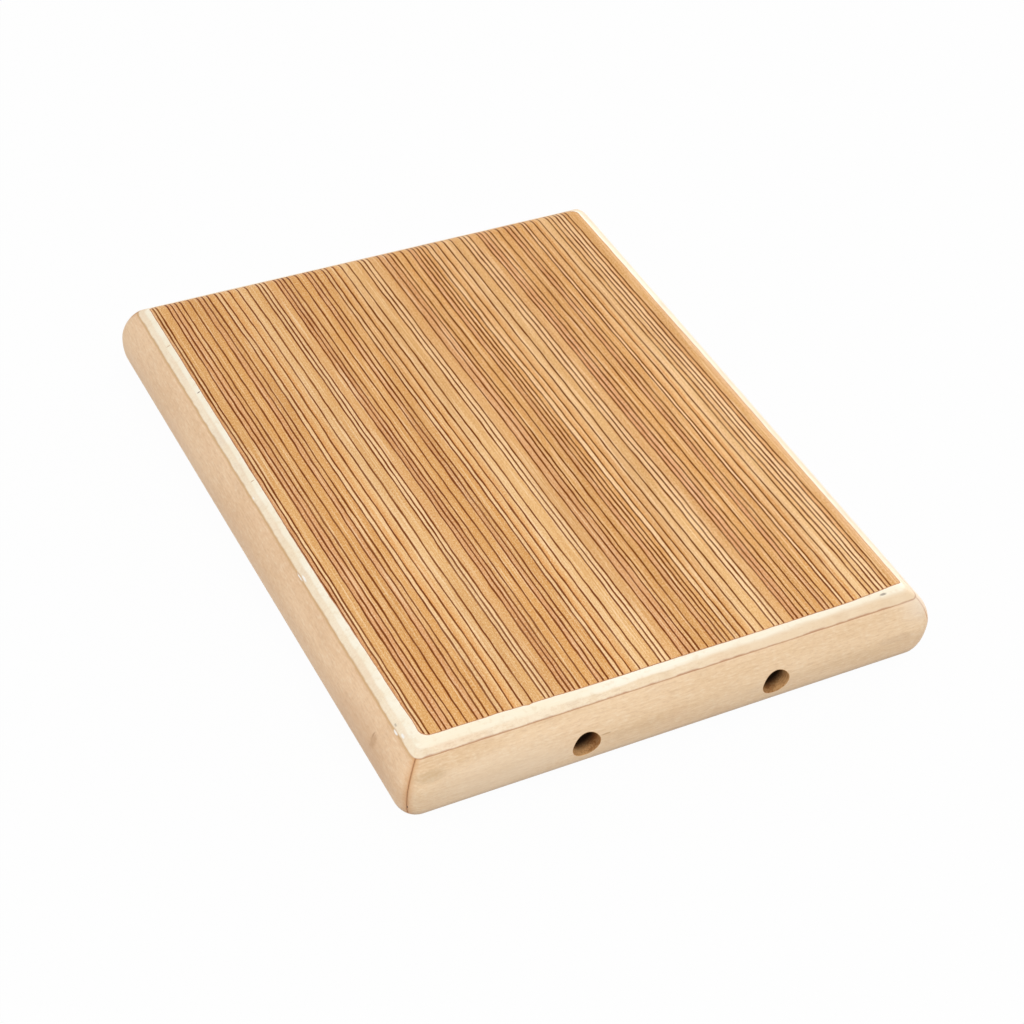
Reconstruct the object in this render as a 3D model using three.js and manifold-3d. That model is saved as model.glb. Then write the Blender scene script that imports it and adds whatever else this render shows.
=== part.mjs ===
// A travel cajon: a flat box drum the size of a laptop. A veneered playing plate is glued on a frame of
// four mitred rails with a full rounded edge. Two sets of snare strings run under the plate, and each is
// tightened by a socket screw that a hex key reaches through a hole in the front rail.
//
// Millimetres. X runs across the body, Y along it with the key holes facing -Y, and Z up.
// The origin is on the surface that the drum rests on, under the middle of the body.

import * as THREE from 'three';
import { mergeVertices } from 'three/addons/utils/BufferGeometryUtils.js';
import Module from 'manifold-3d';

const wasm = await Module();
wasm.setup();

// Body, measured at the widest line of its rounded edge
const BODY_WIDTH = 245;
const BODY_LENGTH = 312;
const BODY_HEIGHT = 33.5; // underside of the rails to the playing face
const CORNER_RADIUS = 10.8; // corner seen from above, at the widest line
const CREST_CORNER_RADIUS = 2.5; // the least radius that a corner keeps, up at the playing face

// Rounded edge. A fullness of 1 is a straight bevel and 2 a quarter of an ellipse
const WIDEST_HEIGHT = 17; // the widest line above the underside of the rails
const TOP_EDGE_INSET = 15;
const TOP_EDGE_FULLNESS = 1.665;
const BOTTOM_EDGE_INSET = 9;
const BOTTOM_EDGE_FULLNESS = 2.19;
const TOP_EDGE_STEPS = 11;
const BOTTOM_EDGE_STEPS = 9;
const CORNER_STEPS = 7;

// Playing plate: veneer on a plywood core
const VENEER_THICKNESS = 0.6;
const CORE_THICKNESS = 2.8;

// Rails and glue blocks
const RAIL_WIDTH = 24; // widest line to the inner wall
const MITRE_GLUE = 0.1;
const CORNER_BLOCK_LEG = 22;
const CORNER_BLOCK_END_GAP = 0.3; // to the back panel and to the plate

// Back panel, let into a rabbet and flush with the rails
const PANEL_THICKNESS = 3;
const RABBET_WIDTH = 8;
const PANEL_GAP = 0.3;
const PANEL_CORNER_RADIUS = 1.5;
const PANEL_CORNER_STEPS = 3;
const SOUND_HOLE_RADIUS = 37.5;
const SOUND_HOLE_SIDES = 48;

// Countersunk screws that hold the panel
const PANEL_SCREW_EDGE = 4; // panel edge to the screw's axis
const LONG_SIDE_SCREWS = 4;
const LONG_SIDE_MARGIN = 17; // panel's short edge to the first screw on a long side
const SHORT_SIDE_SCREWS = 2;
const SHORT_SIDE_MARGIN = 40; // panel's long edge to the first screw on a short side
const PANEL_SCREW_LENGTH = 12;
const PANEL_SCREW_HEAD_RADIUS = 2.8;
const PANEL_SCREW_RADIUS = 1.5;
const PANEL_SCREW_TIP = 3;
const SCREW_GAP = 0.3; // every screw to the wood or steel round it
const SCREW_SIDES = 12;

// Rubber foot pads under the panel
const PAD_RADIUS = 11;
const PAD_THICKNESS = 2;
const PAD_CHAMFER = 0.5;
const PAD_SIDE_INSET = 20; // panel's long edge to the pad's centre
const PAD_END_INSET = 24; // panel's short edge to the pad's centre
const PAD_SIDES = 32;

// Key holes and the tuning screws behind them
const KEY_HOLE_SPACING = 87;
const KEY_HOLE_HEIGHT = 15.7; // above the underside of the rails
const KEY_HOLE_RADIUS = 6;
const KEY_HOLE_SIDES = 24;
const TUNING_SCREW_RADIUS = 3;
const TUNING_SCREW_REACH = 40; // past the front rail's inner wall
const TUNING_SCREW_CHAMFER = 0.6;
const TUNING_HEAD_RADIUS = 5;
const TUNING_HEAD_LENGTH = 6;
const HEX_KEY_SIZE = 5; // across the flats
const HEX_SOCKET_DEPTH = 3;
const TURNED_SIDES = 24;
const RUNNING_GAP = 0.3; // between a piece that moves and what it moves in
const WASHER_RADIUS = 5.5;
const WASHER_THICKNESS = 1;
const RING_RADIUS = 4.6;
const RING_THICKNESS = 0.8;

// Folded steel bracket that holds the screw and guides the carriage
const BRACKET_SHEET = 1.5;
const BRACKET_ARM_LENGTH = 42;
const BRACKET_ARM_HEIGHT = 12;
const BRACKET_WEB_HEIGHT = 24;
const BRACKET_BEND_RADIUS = 2;
const BRACKET_SCREW_OFFSET = 8.5; // above and below the tuning screw's axis

// Carriage on the screw's thread, with a slotted bar for the strings
const CARRIAGE_WIDTH = 14;
const CARRIAGE_LENGTH = 12;
const CARRIAGE_HEIGHT = 11;
const CARRIAGE_REST = 20; // inner wall of the front rail to the carriage's front face
const STRING_BAR_SHEET = 2;
const STRING_BAR_MARGIN = 5; // past the outer strings
const STRING_BAR_DEPTH = 6.6; // bottom of the bar to its top
const STRING_BAR_TO_PLATE = 0.8;
const STRING_SLOT_WIDTH = 1.2;

// Snare strings
const STRINGS_PER_SET = 4;
const STRING_PITCH = 8;
const STRING_RADIUS = 0.3;
const STRING_TO_PLATE = 0.3;
const STRING_SIDES = 8;
const BALL_END_RADIUS = 1.6;
const BALL_END_LENGTH = 3.6;
const BALL_END_TO_PLATE = 0.4;
const BALL_END_SIDES = 16;
const FERRULE_RADIUS = 1.3;
const FERRULE_LENGTH = 4;
const SEAT_GAP = 0.3; // string, ball end or ferrule to what it rests on

// Bars across the body that hold the strings up to the plate
const BRIDGE_WIDTH = 8;
const BRIDGE_HEIGHT = 12;
const BRIDGE_CROWN = 1.5; // rise of its rounded top
const FRONT_BRIDGE_PLACE = 56; // front inner wall to the bar's middle
const REAR_BRIDGE_PLACE = 44; // rear inner wall to the bar's middle

// Slotted steel anchors at the rear
const ANCHOR_SHEET = 1.5;
const ANCHOR_REACH = 18; // rear inner wall to the slotted lip
const ANCHOR_WALL_HEIGHT = 16;
const ANCHOR_LIP_HEIGHT = 3.8;
const ANCHOR_SCREW_DROP = 8; // shelf to the wood screws
const ANCHOR_SCREW_SPACING = 18;

// Pan-head wood screws that hold the brackets and the anchors
const WOOD_SCREW_LENGTH = 12;
const WOOD_SCREW_RADIUS = 1.6;
const WOOD_SCREW_HEAD_RADIUS = 2.75;
const WOOD_SCREW_HEAD_HEIGHT = 1.9;
const WOOD_SCREW_HEAD_RIM = 0.8; // straight part of the head's side
const WOOD_SCREW_HEAD_TOP_RADIUS = 1.65;
const WOOD_SCREW_TIP = 3;

// Worked out from the sizes above, in the body's own height, which starts at the rails' underside
const PLATE_THICKNESS = VENEER_THICKNESS + CORE_THICKNESS;
const RAIL_HEIGHT = BODY_HEIGHT - PLATE_THICKNESS;
const CAVITY_X = BODY_WIDTH / 2 - RAIL_WIDTH; // middle of the body to an inner wall
const CAVITY_Y = BODY_LENGTH / 2 - RAIL_WIDTH;
const PANEL_X = CAVITY_X + RABBET_WIDTH - PANEL_GAP;
const PANEL_Y = CAVITY_Y + RABBET_WIDTH - PANEL_GAP;
const STRING_END_HEIGHT = RAIL_HEIGHT - BALL_END_TO_PLATE - BALL_END_RADIUS;
const STRING_TOP_HEIGHT = RAIL_HEIGHT - STRING_TO_PLATE - STRING_RADIUS;
const STRING_BAR_TOP = RAIL_HEIGHT - STRING_BAR_TO_PLATE;
const STRING_BAR_WIDTH = (STRINGS_PER_SET - 1) * STRING_PITCH + 2 * STRING_BAR_MARGIN;
const BRIDGE_TOP = STRING_TOP_HEIGHT - STRING_RADIUS - SEAT_GAP;
const OVERCUT = 5; // how far a cutting shape runs past what it cuts
const SAME_POINT = 1e-5; // points nearer than this are one
const THINNEST_STEP = 0.15; // between two heights of the body's rounded edge

const WOOD = { pale: 0xe6c9a2, cream: 0xf4e6c8, zebra: 0xcf9a60, beech: 0xd8b48a, ply: 0xdcc39a };

// Solids and booleans

function toSolid(geometry) {
  const bare = geometry.clone();
  bare.deleteAttribute('normal');
  bare.deleteAttribute('uv');
  const merged = mergeVertices(bare, SAME_POINT);
  const index = merged.index.array;
  const corners = [];
  for (let i = 0; i < index.length; i += 3) {
    const [a, b, c] = [index[i], index[i + 1], index[i + 2]];
    if (a !== b && b !== c && c !== a) corners.push(a, b, c);
  }
  return new wasm.Manifold(new wasm.Mesh({
    numProp: 3,
    vertProperties: new Float32Array(merged.attributes.position.array),
    triVerts: new Uint32Array(corners),
  }));
}

function toGeometry(solid) {
  const mesh = solid.getMesh();
  const geometry = new THREE.BufferGeometry();
  geometry.setAttribute('position', new THREE.BufferAttribute(mesh.vertProperties, 3));
  geometry.setIndex(new THREE.BufferAttribute(mesh.triVerts, 1));
  geometry.computeVertexNormals();
  return geometry;
}

function joined(solids) {
  return solids.reduce((whole, solid) => whole.add(solid));
}

function cutBy(solid, tools) {
  return tools.reduce((rest, tool) => rest.subtract(tool), solid);
}

// Basic shapes

function box(width, length, height, x, y, z) {
  return toSolid(new THREE.BoxGeometry(width, length, height).translate(x, y, z));
}

// A round bar along Y
function roundBar(radius, length, sides) {
  return toSolid(new THREE.CylinderGeometry(radius, radius, length, sides));
}

// A turned piece round the Y axis, from [radius, place] pairs that start and end on the axis
function turned(profile, sides) {
  return toSolid(new THREE.LatheGeometry(profile.map(([r, y]) => new THREE.Vector2(r, y)), sides));
}

// A closed body through rings of points, each ring anticlockwise about the way the rings advance
function loft(rings) {
  const count = rings[0].length;
  const points = rings.flat();
  const corners = [];
  for (let level = 0; level < rings.length - 1; level += 1) {
    for (let i = 0; i < count; i += 1) {
      const a = level * count + i;
      const b = level * count + ((i + 1) % count);
      corners.push(a, b, b + count, a, b + count, a + count);
    }
  }
  const top = (rings.length - 1) * count;
  const middle = (ring) => ring.reduce((sum, p) => sum.add(p), new THREE.Vector3()).divideScalar(count);
  const floorCentre = points.push(middle(rings[0])) - 1;
  const roofCentre = points.push(middle(rings[rings.length - 1])) - 1;
  for (let i = 0; i < count; i += 1) {
    const next = (i + 1) % count;
    corners.push(floorCentre, next, i, roofCentre, top + i, top + next);
  }
  const geometry = new THREE.BufferGeometry().setFromPoints(points);
  geometry.setIndex(corners);
  return toSolid(geometry);
}

// An outline in two axes, pushed through a depth along the third
function extruded(shape, depth, curveSegments = 8) {
  return new THREE.ExtrudeGeometry(shape, { depth, bevelEnabled: false, curveSegments });
}

function polygon(points) {
  return new THREE.Shape(points.map(([x, y]) => new THREE.Vector2(x, y)));
}

function roundedRectangle(halfX, halfY, radius) {
  const shape = new THREE.Shape();
  shape.absarc(halfX - radius, halfY - radius, radius, 0, Math.PI / 2);
  shape.absarc(radius - halfX, halfY - radius, radius, Math.PI / 2, Math.PI);
  shape.absarc(radius - halfX, radius - halfY, radius, Math.PI, 1.5 * Math.PI);
  shape.absarc(halfX - radius, radius - halfY, radius, 1.5 * Math.PI, 2 * Math.PI);
  return shape;
}

// The rounded edge of the body

// How far the surface lies inside the widest line at a height above the rails' underside
function edgeInset(height) {
  const above = height > WIDEST_HEIGHT;
  const rise = above ? BODY_HEIGHT - WIDEST_HEIGHT : WIDEST_HEIGHT;
  const fullness = above ? TOP_EDGE_FULLNESS : BOTTOM_EDGE_FULLNESS;
  const depth = above ? TOP_EDGE_INSET : BOTTOM_EDGE_INSET;
  const share = Math.min(1, Math.abs(height - WIDEST_HEIGHT) / rise);
  return depth * (1 - (1 - share ** fullness) ** (1 / fullness));
}

// Heights that follow the curve evenly, from the underside to the playing face
function edgeHeights() {
  const heights = [];
  for (let i = 0; i <= BOTTOM_EDGE_STEPS; i += 1) {
    const turn = (Math.PI / 2) * (1 - i / BOTTOM_EDGE_STEPS);
    heights.push(WIDEST_HEIGHT * (1 - Math.sin(turn) ** (2 / BOTTOM_EDGE_FULLNESS)));
  }
  for (let i = 1; i <= TOP_EDGE_STEPS; i += 1) {
    const turn = (Math.PI / 2) * (i / TOP_EDGE_STEPS);
    heights.push(WIDEST_HEIGHT + (BODY_HEIGHT - WIDEST_HEIGHT) * Math.sin(turn) ** (2 / TOP_EDGE_FULLNESS));
  }
  return heights;
}

function bodyRing(height) {
  const inset = edgeInset(height);
  const radius = Math.max(CORNER_RADIUS - inset, CREST_CORNER_RADIUS);
  const x = BODY_WIDTH / 2 - inset - radius;
  const y = BODY_LENGTH / 2 - inset - radius;
  const ring = [];
  [[x, y], [-x, y], [-x, -y], [x, -y]].forEach(([cx, cy], quarter) => {
    for (let i = 0; i <= CORNER_STEPS; i += 1) {
      const angle = (Math.PI / 2) * (quarter + i / CORNER_STEPS);
      ring.push(new THREE.Vector3(cx + radius * Math.cos(angle), cy + radius * Math.sin(angle), height));
    }
  });
  return ring;
}

// The body's outer form between two heights
function bodySlice(low, high) {
  const inner = edgeHeights().filter((h) => h > low + THINNEST_STEP && h < high - THINNEST_STEP);
  return loft([low, ...inner, high].map(bodyRing));
}

// Screws

// A countersunk screw that points up, with its head's flat face at height 0. A gap makes its hole
function panelScrew(gap) {
  const head = PANEL_SCREW_HEAD_RADIUS + gap;
  const shank = PANEL_SCREW_RADIUS + gap;
  const length = PANEL_SCREW_LENGTH + gap;
  const start = gap > 0 ? -OVERCUT : 0;
  const profile = [[0, start], [head, start], [head, 0], [shank, head - shank]];
  const tip = gap > 0 ? [[shank, length], [0, length]] : [[shank, length - PANEL_SCREW_TIP], [0, length]];
  const outline = gap > 0 ? [...profile, ...tip] : [profile[0], ...profile.slice(2), ...tip];
  return turned(outline, SCREW_SIDES).rotate([90, 0, 0]);
}

function spread(count, pitch) {
  return Array.from({ length: count }, (unused, i) => (i - (count - 1) / 2) * pitch);
}

function panelScrewPlaces() {
  const x = PANEL_X - PANEL_SCREW_EDGE;
  const y = PANEL_Y - PANEL_SCREW_EDGE;
  const longPitch = (2 * (PANEL_Y - LONG_SIDE_MARGIN)) / (LONG_SIDE_SCREWS - 1);
  const shortPitch = (2 * (PANEL_X - SHORT_SIDE_MARGIN)) / (SHORT_SIDE_SCREWS - 1);
  const sides = spread(LONG_SIDE_SCREWS, longPitch).flatMap((at) => [[-x, at], [x, at]]);
  const ends = spread(SHORT_SIDE_SCREWS, shortPitch).flatMap((at) => [[at, -y], [at, y]]);
  return [...sides, ...ends];
}

function panelScrews(gap) {
  return panelScrewPlaces().map(([x, y]) => panelScrew(gap).translate([x, y, 0]));
}

// A pan-head wood screw along Y. Its head sits at place 0 and its point goes towards -Y
function woodScrew() {
  return turned([
    [0, -WOOD_SCREW_LENGTH],
    [WOOD_SCREW_RADIUS, WOOD_SCREW_TIP - WOOD_SCREW_LENGTH],
    [WOOD_SCREW_RADIUS, 0],
    [WOOD_SCREW_HEAD_RADIUS, 0],
    [WOOD_SCREW_HEAD_RADIUS, WOOD_SCREW_HEAD_RIM],
    [WOOD_SCREW_HEAD_TOP_RADIUS, WOOD_SCREW_HEAD_HEIGHT],
    [0, WOOD_SCREW_HEAD_HEIGHT],
  ], SCREW_SIDES);
}

function woodScrewHole() {
  const radius = WOOD_SCREW_RADIUS + SCREW_GAP;
  const deep = -WOOD_SCREW_LENGTH - SCREW_GAP;
  return turned([[0, deep], [radius, deep], [radius, OVERCUT], [0, OVERCUT]], SCREW_SIDES);
}

// Tuner places: the screw's axis where it leaves the front rail's inner wall

const TUNER_X = [-KEY_HOLE_SPACING / 2, KEY_HOLE_SPACING / 2];
const SIDE_NAMES = ['left', 'right'];

function bracketScrewPlaces() {
  const heights = [KEY_HOLE_HEIGHT - BRACKET_SCREW_OFFSET, KEY_HOLE_HEIGHT + BRACKET_SCREW_OFFSET];
  return TUNER_X.flatMap((x) => heights.map((z) => [x, BRACKET_SHEET - CAVITY_Y, z]));
}

const ANCHOR_SHELF_TOP = STRING_BAR_TOP - ANCHOR_LIP_HEIGHT;

function anchorScrewPlaces() {
  const y = CAVITY_Y - ANCHOR_SHEET;
  const z = ANCHOR_SHELF_TOP - ANCHOR_SCREW_DROP;
  return TUNER_X.flatMap((x) => spread(2, ANCHOR_SCREW_SPACING).map((dx) => [x + dx, y, z]));
}

function atPlaces(solid, places) {
  return places.map((place) => solid.translate(place));
}

// Turned about Z so that it points towards +Y
function facingRear(solid) {
  return solid.rotate([0, 0, 180]);
}

// Rails

// The plan of a rail that lies along X on the side given, with its ends cut on the mitre
function mitredPlan(halfRun, halfDepth, cavityRun, cavityDepth, side) {
  const slack = MITRE_GLUE / Math.SQRT2;
  const outer = halfRun + OVERCUT - slack;
  const inner = cavityRun - slack;
  const far = side * (halfDepth + OVERCUT);
  const near = side * cavityDepth;
  return [[-outer, far], [outer, far], [inner, near], [-inner, near]];
}

const railBlank = bodySlice(0, RAIL_HEIGHT);
const rabbet = box(
  2 * (CAVITY_X + RABBET_WIDTH),
  2 * (CAVITY_Y + RABBET_WIDTH),
  PANEL_THICKNESS + OVERCUT,
  0,
  0,
  (PANEL_THICKNESS - OVERCUT) / 2,
);

function rail(plan, holes) {
  const wedge = toSolid(extruded(polygon(plan), RAIL_HEIGHT + 2 * OVERCUT).translate(0, 0, -OVERCUT));
  return cutBy(railBlank.intersect(wedge), [rabbet, ...panelScrews(SCREW_GAP), ...holes]);
}

function endRail(side, holes) {
  return rail(mitredPlan(BODY_WIDTH / 2, BODY_LENGTH / 2, CAVITY_X, CAVITY_Y, side), holes);
}

function sideRail(side) {
  const plan = mitredPlan(BODY_LENGTH / 2, BODY_WIDTH / 2, CAVITY_Y, CAVITY_X, side);
  return rail(plan.map(([along, across]) => [across, along]), []);
}

function keyHoles() {
  const hole = roundBar(KEY_HOLE_RADIUS, 3 * RAIL_WIDTH, KEY_HOLE_SIDES);
  return TUNER_X.map((x) => hole.translate([x, -BODY_LENGTH / 2, KEY_HOLE_HEIGHT]));
}

// Plate, panel and small wooden pieces

function backPanel() {
  const outline = roundedRectangle(PANEL_X, PANEL_Y, PANEL_CORNER_RADIUS);
  const blank = toSolid(extruded(outline, PANEL_THICKNESS, PANEL_CORNER_STEPS));
  const hole = roundBar(SOUND_HOLE_RADIUS, 4 * PANEL_THICKNESS, SOUND_HOLE_SIDES);
  return cutBy(blank, [hole.rotate([90, 0, 0]), ...panelScrews(SCREW_GAP)]);
}

function cornerBlock(sideX, sideY) {
  const plan = polygon([
    [sideX * CAVITY_X, sideY * CAVITY_Y],
    [sideX * (CAVITY_X - CORNER_BLOCK_LEG), sideY * CAVITY_Y],
    [sideX * CAVITY_X, sideY * (CAVITY_Y - CORNER_BLOCK_LEG)],
  ]);
  const low = PANEL_THICKNESS + CORNER_BLOCK_END_GAP;
  return extruded(plan, RAIL_HEIGHT - CORNER_BLOCK_END_GAP - low).translate(0, 0, low);
}

// A bar across the cavity with a rounded top, drawn from its end
function bridge() {
  const half = BRIDGE_WIDTH / 2;
  const section = new THREE.Shape();
  section.moveTo(-half, -BRIDGE_HEIGHT);
  section.lineTo(half, -BRIDGE_HEIGHT);
  section.lineTo(half, -BRIDGE_CROWN);
  section.quadraticCurveTo(half, 0, 0, 0);
  section.quadraticCurveTo(-half, 0, -half, -BRIDGE_CROWN);
  const bar = extruded(section, 2 * CAVITY_X, 5).translate(0, 0, -CAVITY_X);
  return bar.rotateX(Math.PI / 2).rotateZ(Math.PI / 2);
}

function footPad() {
  const rim = PAD_RADIUS - PAD_CHAMFER;
  const outline = [[0, -PAD_THICKNESS], [rim, -PAD_THICKNESS], [PAD_RADIUS, PAD_CHAMFER - PAD_THICKNESS]];
  return turned([...outline, [PAD_RADIUS, 0], [0, 0]], PAD_SIDES).rotate([90, 0, 0]);
}

// Tuner pieces, drawn round the screw's axis with place 0 at the front rail's inner wall

function tuningScrew() {
  const headBack = -WASHER_THICKNESS - RUNNING_GAP;
  const headFront = headBack - TUNING_HEAD_LENGTH;
  const socket = roundBar(HEX_KEY_SIZE / Math.sqrt(3), 2 * HEX_SOCKET_DEPTH, 6);
  const screw = turned([
    [0, headFront],
    [TUNING_HEAD_RADIUS - TUNING_SCREW_CHAMFER, headFront],
    [TUNING_HEAD_RADIUS, headFront + TUNING_SCREW_CHAMFER],
    [TUNING_HEAD_RADIUS, headBack],
    [TUNING_SCREW_RADIUS, headBack],
    [TUNING_SCREW_RADIUS, TUNING_SCREW_REACH - TUNING_SCREW_CHAMFER],
    [TUNING_SCREW_RADIUS - TUNING_SCREW_CHAMFER, TUNING_SCREW_REACH],
    [0, TUNING_SCREW_REACH],
  ], TURNED_SIDES);
  return screw.subtract(socket.translate([0, headFront, 0]));
}

function flatRing(outer, inner, start, thickness) {
  const end = start + thickness;
  const section = [[inner, start], [outer, start], [outer, end], [inner, end], [inner, start]];
  return turned(section, TURNED_SIDES);
}

function bore(radius, start, end) {
  return turned([[0, start], [radius, start], [radius, end], [0, end]], TURNED_SIDES);
}

function tunerBracket() {
  const inside = CARRIAGE_WIDTH / 2 + RUNNING_GAP;
  const outside = inside + BRACKET_SHEET;
  const bend = BRACKET_BEND_RADIUS;
  const channel = new THREE.Shape();
  channel.moveTo(-outside, BRACKET_ARM_LENGTH);
  channel.lineTo(-outside, bend);
  channel.absarc(bend - outside, bend, bend, Math.PI, 1.5 * Math.PI);
  channel.absarc(outside - bend, bend, bend, 1.5 * Math.PI, 2 * Math.PI);
  channel.lineTo(outside, BRACKET_ARM_LENGTH);
  channel.lineTo(inside, BRACKET_ARM_LENGTH);
  channel.lineTo(inside, BRACKET_SHEET);
  channel.lineTo(-inside, BRACKET_SHEET);
  channel.lineTo(-inside, BRACKET_ARM_LENGTH);
  const arms = toSolid(extruded(channel, BRACKET_ARM_HEIGHT, 4).translate(0, 0, -BRACKET_ARM_HEIGHT / 2));
  const flat = outside - bend;
  const web = box(2 * flat, BRACKET_SHEET, BRACKET_WEB_HEIGHT, 0, BRACKET_SHEET / 2, 0);
  const screwHoles = [-BRACKET_SCREW_OFFSET, BRACKET_SCREW_OFFSET].map((z) => (
    woodScrewHole().translate([0, BRACKET_SHEET, z])
  ));
  return cutBy(arms.add(web), [bore(TUNING_SCREW_RADIUS + SCREW_GAP, -OVERCUT, OVERCUT), ...screwHoles]);
}

// The upright T of the carriage, seen from the front, with its string slots open at the top
function stringBarOutline() {
  const top = STRING_BAR_TOP - KEY_HOLE_HEIGHT;
  const slotFloor = STRING_END_HEIGHT - KEY_HOLE_HEIGHT - STRING_SLOT_WIDTH / 2;
  const underside = top - STRING_BAR_DEPTH;
  const half = STRING_BAR_WIDTH / 2;
  const stem = CARRIAGE_WIDTH / 2;
  const floor = -CARRIAGE_HEIGHT / 2;
  const outline = [[-stem, floor], [stem, floor], [stem, underside], [half, underside], [half, top]];
  spread(STRINGS_PER_SET, -STRING_PITCH).forEach((x) => {
    const [right, left] = [x + STRING_SLOT_WIDTH / 2, x - STRING_SLOT_WIDTH / 2];
    outline.push([right, top], [right, slotFloor], [left, slotFloor], [left, top]);
  });
  outline.push([-half, top], [-half, underside], [-stem, underside]);
  return polygon(outline);
}

function stringCarriage() {
  const block = box(CARRIAGE_WIDTH, CARRIAGE_LENGTH, CARRIAGE_HEIGHT, 0, CARRIAGE_LENGTH / 2, 0);
  const bar = toSolid(extruded(stringBarOutline(), STRING_BAR_SHEET)).rotate([90, 0, 0]);
  const thread = bore(TUNING_SCREW_RADIUS + RUNNING_GAP, -OVERCUT, CARRIAGE_LENGTH + OVERCUT);
  return block.add(bar.translate([0, STRING_BAR_SHEET, 0])).subtract(thread);
}

// Rear anchor: wall plate, shelf and slotted lip in one folded sheet. Place 0 is at the rear inner wall
function stringAnchor() {
  const wallFoot = -ANCHOR_WALL_HEIGHT;
  const lipTop = ANCHOR_LIP_HEIGHT;
  const lipFront = -ANCHOR_REACH;
  const section = polygon([
    [0, wallFoot],
    [0, 0],
    [lipFront + ANCHOR_SHEET, 0],
    [lipFront + ANCHOR_SHEET, lipTop],
    [lipFront, lipTop],
    [lipFront, -ANCHOR_SHEET],
    [-ANCHOR_SHEET, -ANCHOR_SHEET],
    [-ANCHOR_SHEET, wallFoot],
  ]);
  const sheet = extruded(section, STRING_BAR_WIDTH).translate(0, 0, -STRING_BAR_WIDTH / 2);
  const folded = toSolid(sheet.rotateX(Math.PI / 2).rotateZ(Math.PI / 2));
  const slotFloor = STRING_END_HEIGHT - STRING_SLOT_WIDTH / 2 - ANCHOR_SHELF_TOP;
  const slotHeight = lipTop - slotFloor + OVERCUT;
  const slots = spread(STRINGS_PER_SET, STRING_PITCH).map((x) => (
    box(STRING_SLOT_WIDTH, 3 * ANCHOR_SHEET, slotHeight, x, lipFront, slotFloor + slotHeight / 2)
  ));
  const holes = spread(2, ANCHOR_SCREW_SPACING).map((x) => (
    facingRear(woodScrewHole()).translate([x, -ANCHOR_SHEET, -ANCHOR_SCREW_DROP])
  ));
  return cutBy(folded, [...slots, ...holes]);
}

// Strings, in the body's height, from the carriage over both bridges to the anchor

function stringRing(place, height) {
  return Array.from({ length: STRING_SIDES }, (unused, i) => {
    const angle = (2 * Math.PI * i) / STRING_SIDES;
    const across = STRING_RADIUS * Math.sin(angle);
    return new THREE.Vector3(across, place, height + STRING_RADIUS * Math.cos(angle));
  });
}

function snareString() {
  const ball = CARRIAGE_REST - CAVITY_Y - SEAT_GAP - BALL_END_RADIUS;
  const ferrule = CAVITY_Y - ANCHOR_REACH + ANCHOR_SHEET + SEAT_GAP + FERRULE_LENGTH / 2;
  const wire = loft([
    stringRing(ball, STRING_END_HEIGHT),
    stringRing(FRONT_BRIDGE_PLACE - CAVITY_Y, STRING_TOP_HEIGHT),
    stringRing(CAVITY_Y - REAR_BRIDGE_PLACE, STRING_TOP_HEIGHT),
    stringRing(ferrule, STRING_END_HEIGHT),
  ]);
  const barrel = roundBar(BALL_END_RADIUS, BALL_END_LENGTH, BALL_END_SIDES).rotate([0, 0, 90]);
  const sleeve = roundBar(FERRULE_RADIUS, FERRULE_LENGTH, SCREW_SIDES);
  return joined([
    wire,
    barrel.translate([0, ball, STRING_END_HEIGHT]),
    sleeve.translate([0, ferrule, STRING_END_HEIGHT]),
  ]);
}

// Assembly

function finish(color, roughness, metalness = 0) {
  return { color, roughness, metalness };
}

const STEEL = finish(0xb9bcc0, 0.35, 1);
const BLACK_STEEL = finish(0x2c2d2f, 0.45, 1);
const STRING_STEEL = finish(0xc9c2b4, 0.3, 1);
const RUBBER = finish(0x1d1d1e, 0.85);

function piece(name, shape, look, group, place = [0, 0, 0]) {
  const geometry = shape.isBufferGeometry ? shape : toGeometry(shape);
  const mesh = new THREE.Mesh(geometry, new THREE.MeshStandardMaterial(look));
  mesh.name = name;
  mesh.position.set(...place);
  group.add(mesh);
}

function addFrame(body) {
  const frontHoles = [...keyHoles(), ...atPlaces(woodScrewHole(), bracketScrewPlaces())];
  const rearHoles = atPlaces(facingRear(woodScrewHole()), anchorScrewPlaces());
  piece('front_rail', endRail(-1, frontHoles), finish(WOOD.pale, 0.45), body);
  piece('rear_rail', endRail(1, rearHoles), finish(WOOD.pale, 0.45), body);
  piece('left_rail', sideRail(-1), finish(WOOD.pale, 0.45), body);
  piece('right_rail', sideRail(1), finish(WOOD.pale, 0.45), body);
  for (const [endName, sideY] of [['front', -1], ['rear', 1]]) {
    for (const [sideName, sideX] of [['left', -1], ['right', 1]]) {
      piece(`corner_block_${endName}_${sideName}`, cornerBlock(sideX, sideY), finish(WOOD.beech, 0.7), body);
    }
  }
}

function addPlate(body) {
  const glueLine = BODY_HEIGHT - VENEER_THICKNESS;
  piece('tapa_core', bodySlice(RAIL_HEIGHT, glueLine), finish(WOOD.cream, 0.5), body);
  piece('tapa_veneer', bodySlice(glueLine, BODY_HEIGHT), finish(WOOD.zebra, 0.4), body);
}

function addBack(body) {
  piece('back_panel', backPanel(), finish(WOOD.ply, 0.6), body);
  panelScrewPlaces().forEach(([x, y], i) => {
    piece(`panel_screw_${i + 1}`, panelScrew(0), BLACK_STEEL, body, [x, y, 0]);
  });
  const x = PANEL_X - PAD_SIDE_INSET;
  const y = PANEL_Y - PAD_END_INSET;
  for (const [endName, sideY] of [['front', -1], ['rear', 1]]) {
    for (const [sideName, sideX] of [['left', -1], ['right', 1]]) {
      piece(`foot_pad_${endName}_${sideName}`, footPad(), RUBBER, body, [sideX * x, sideY * y, 0]);
    }
  }
}

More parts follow.
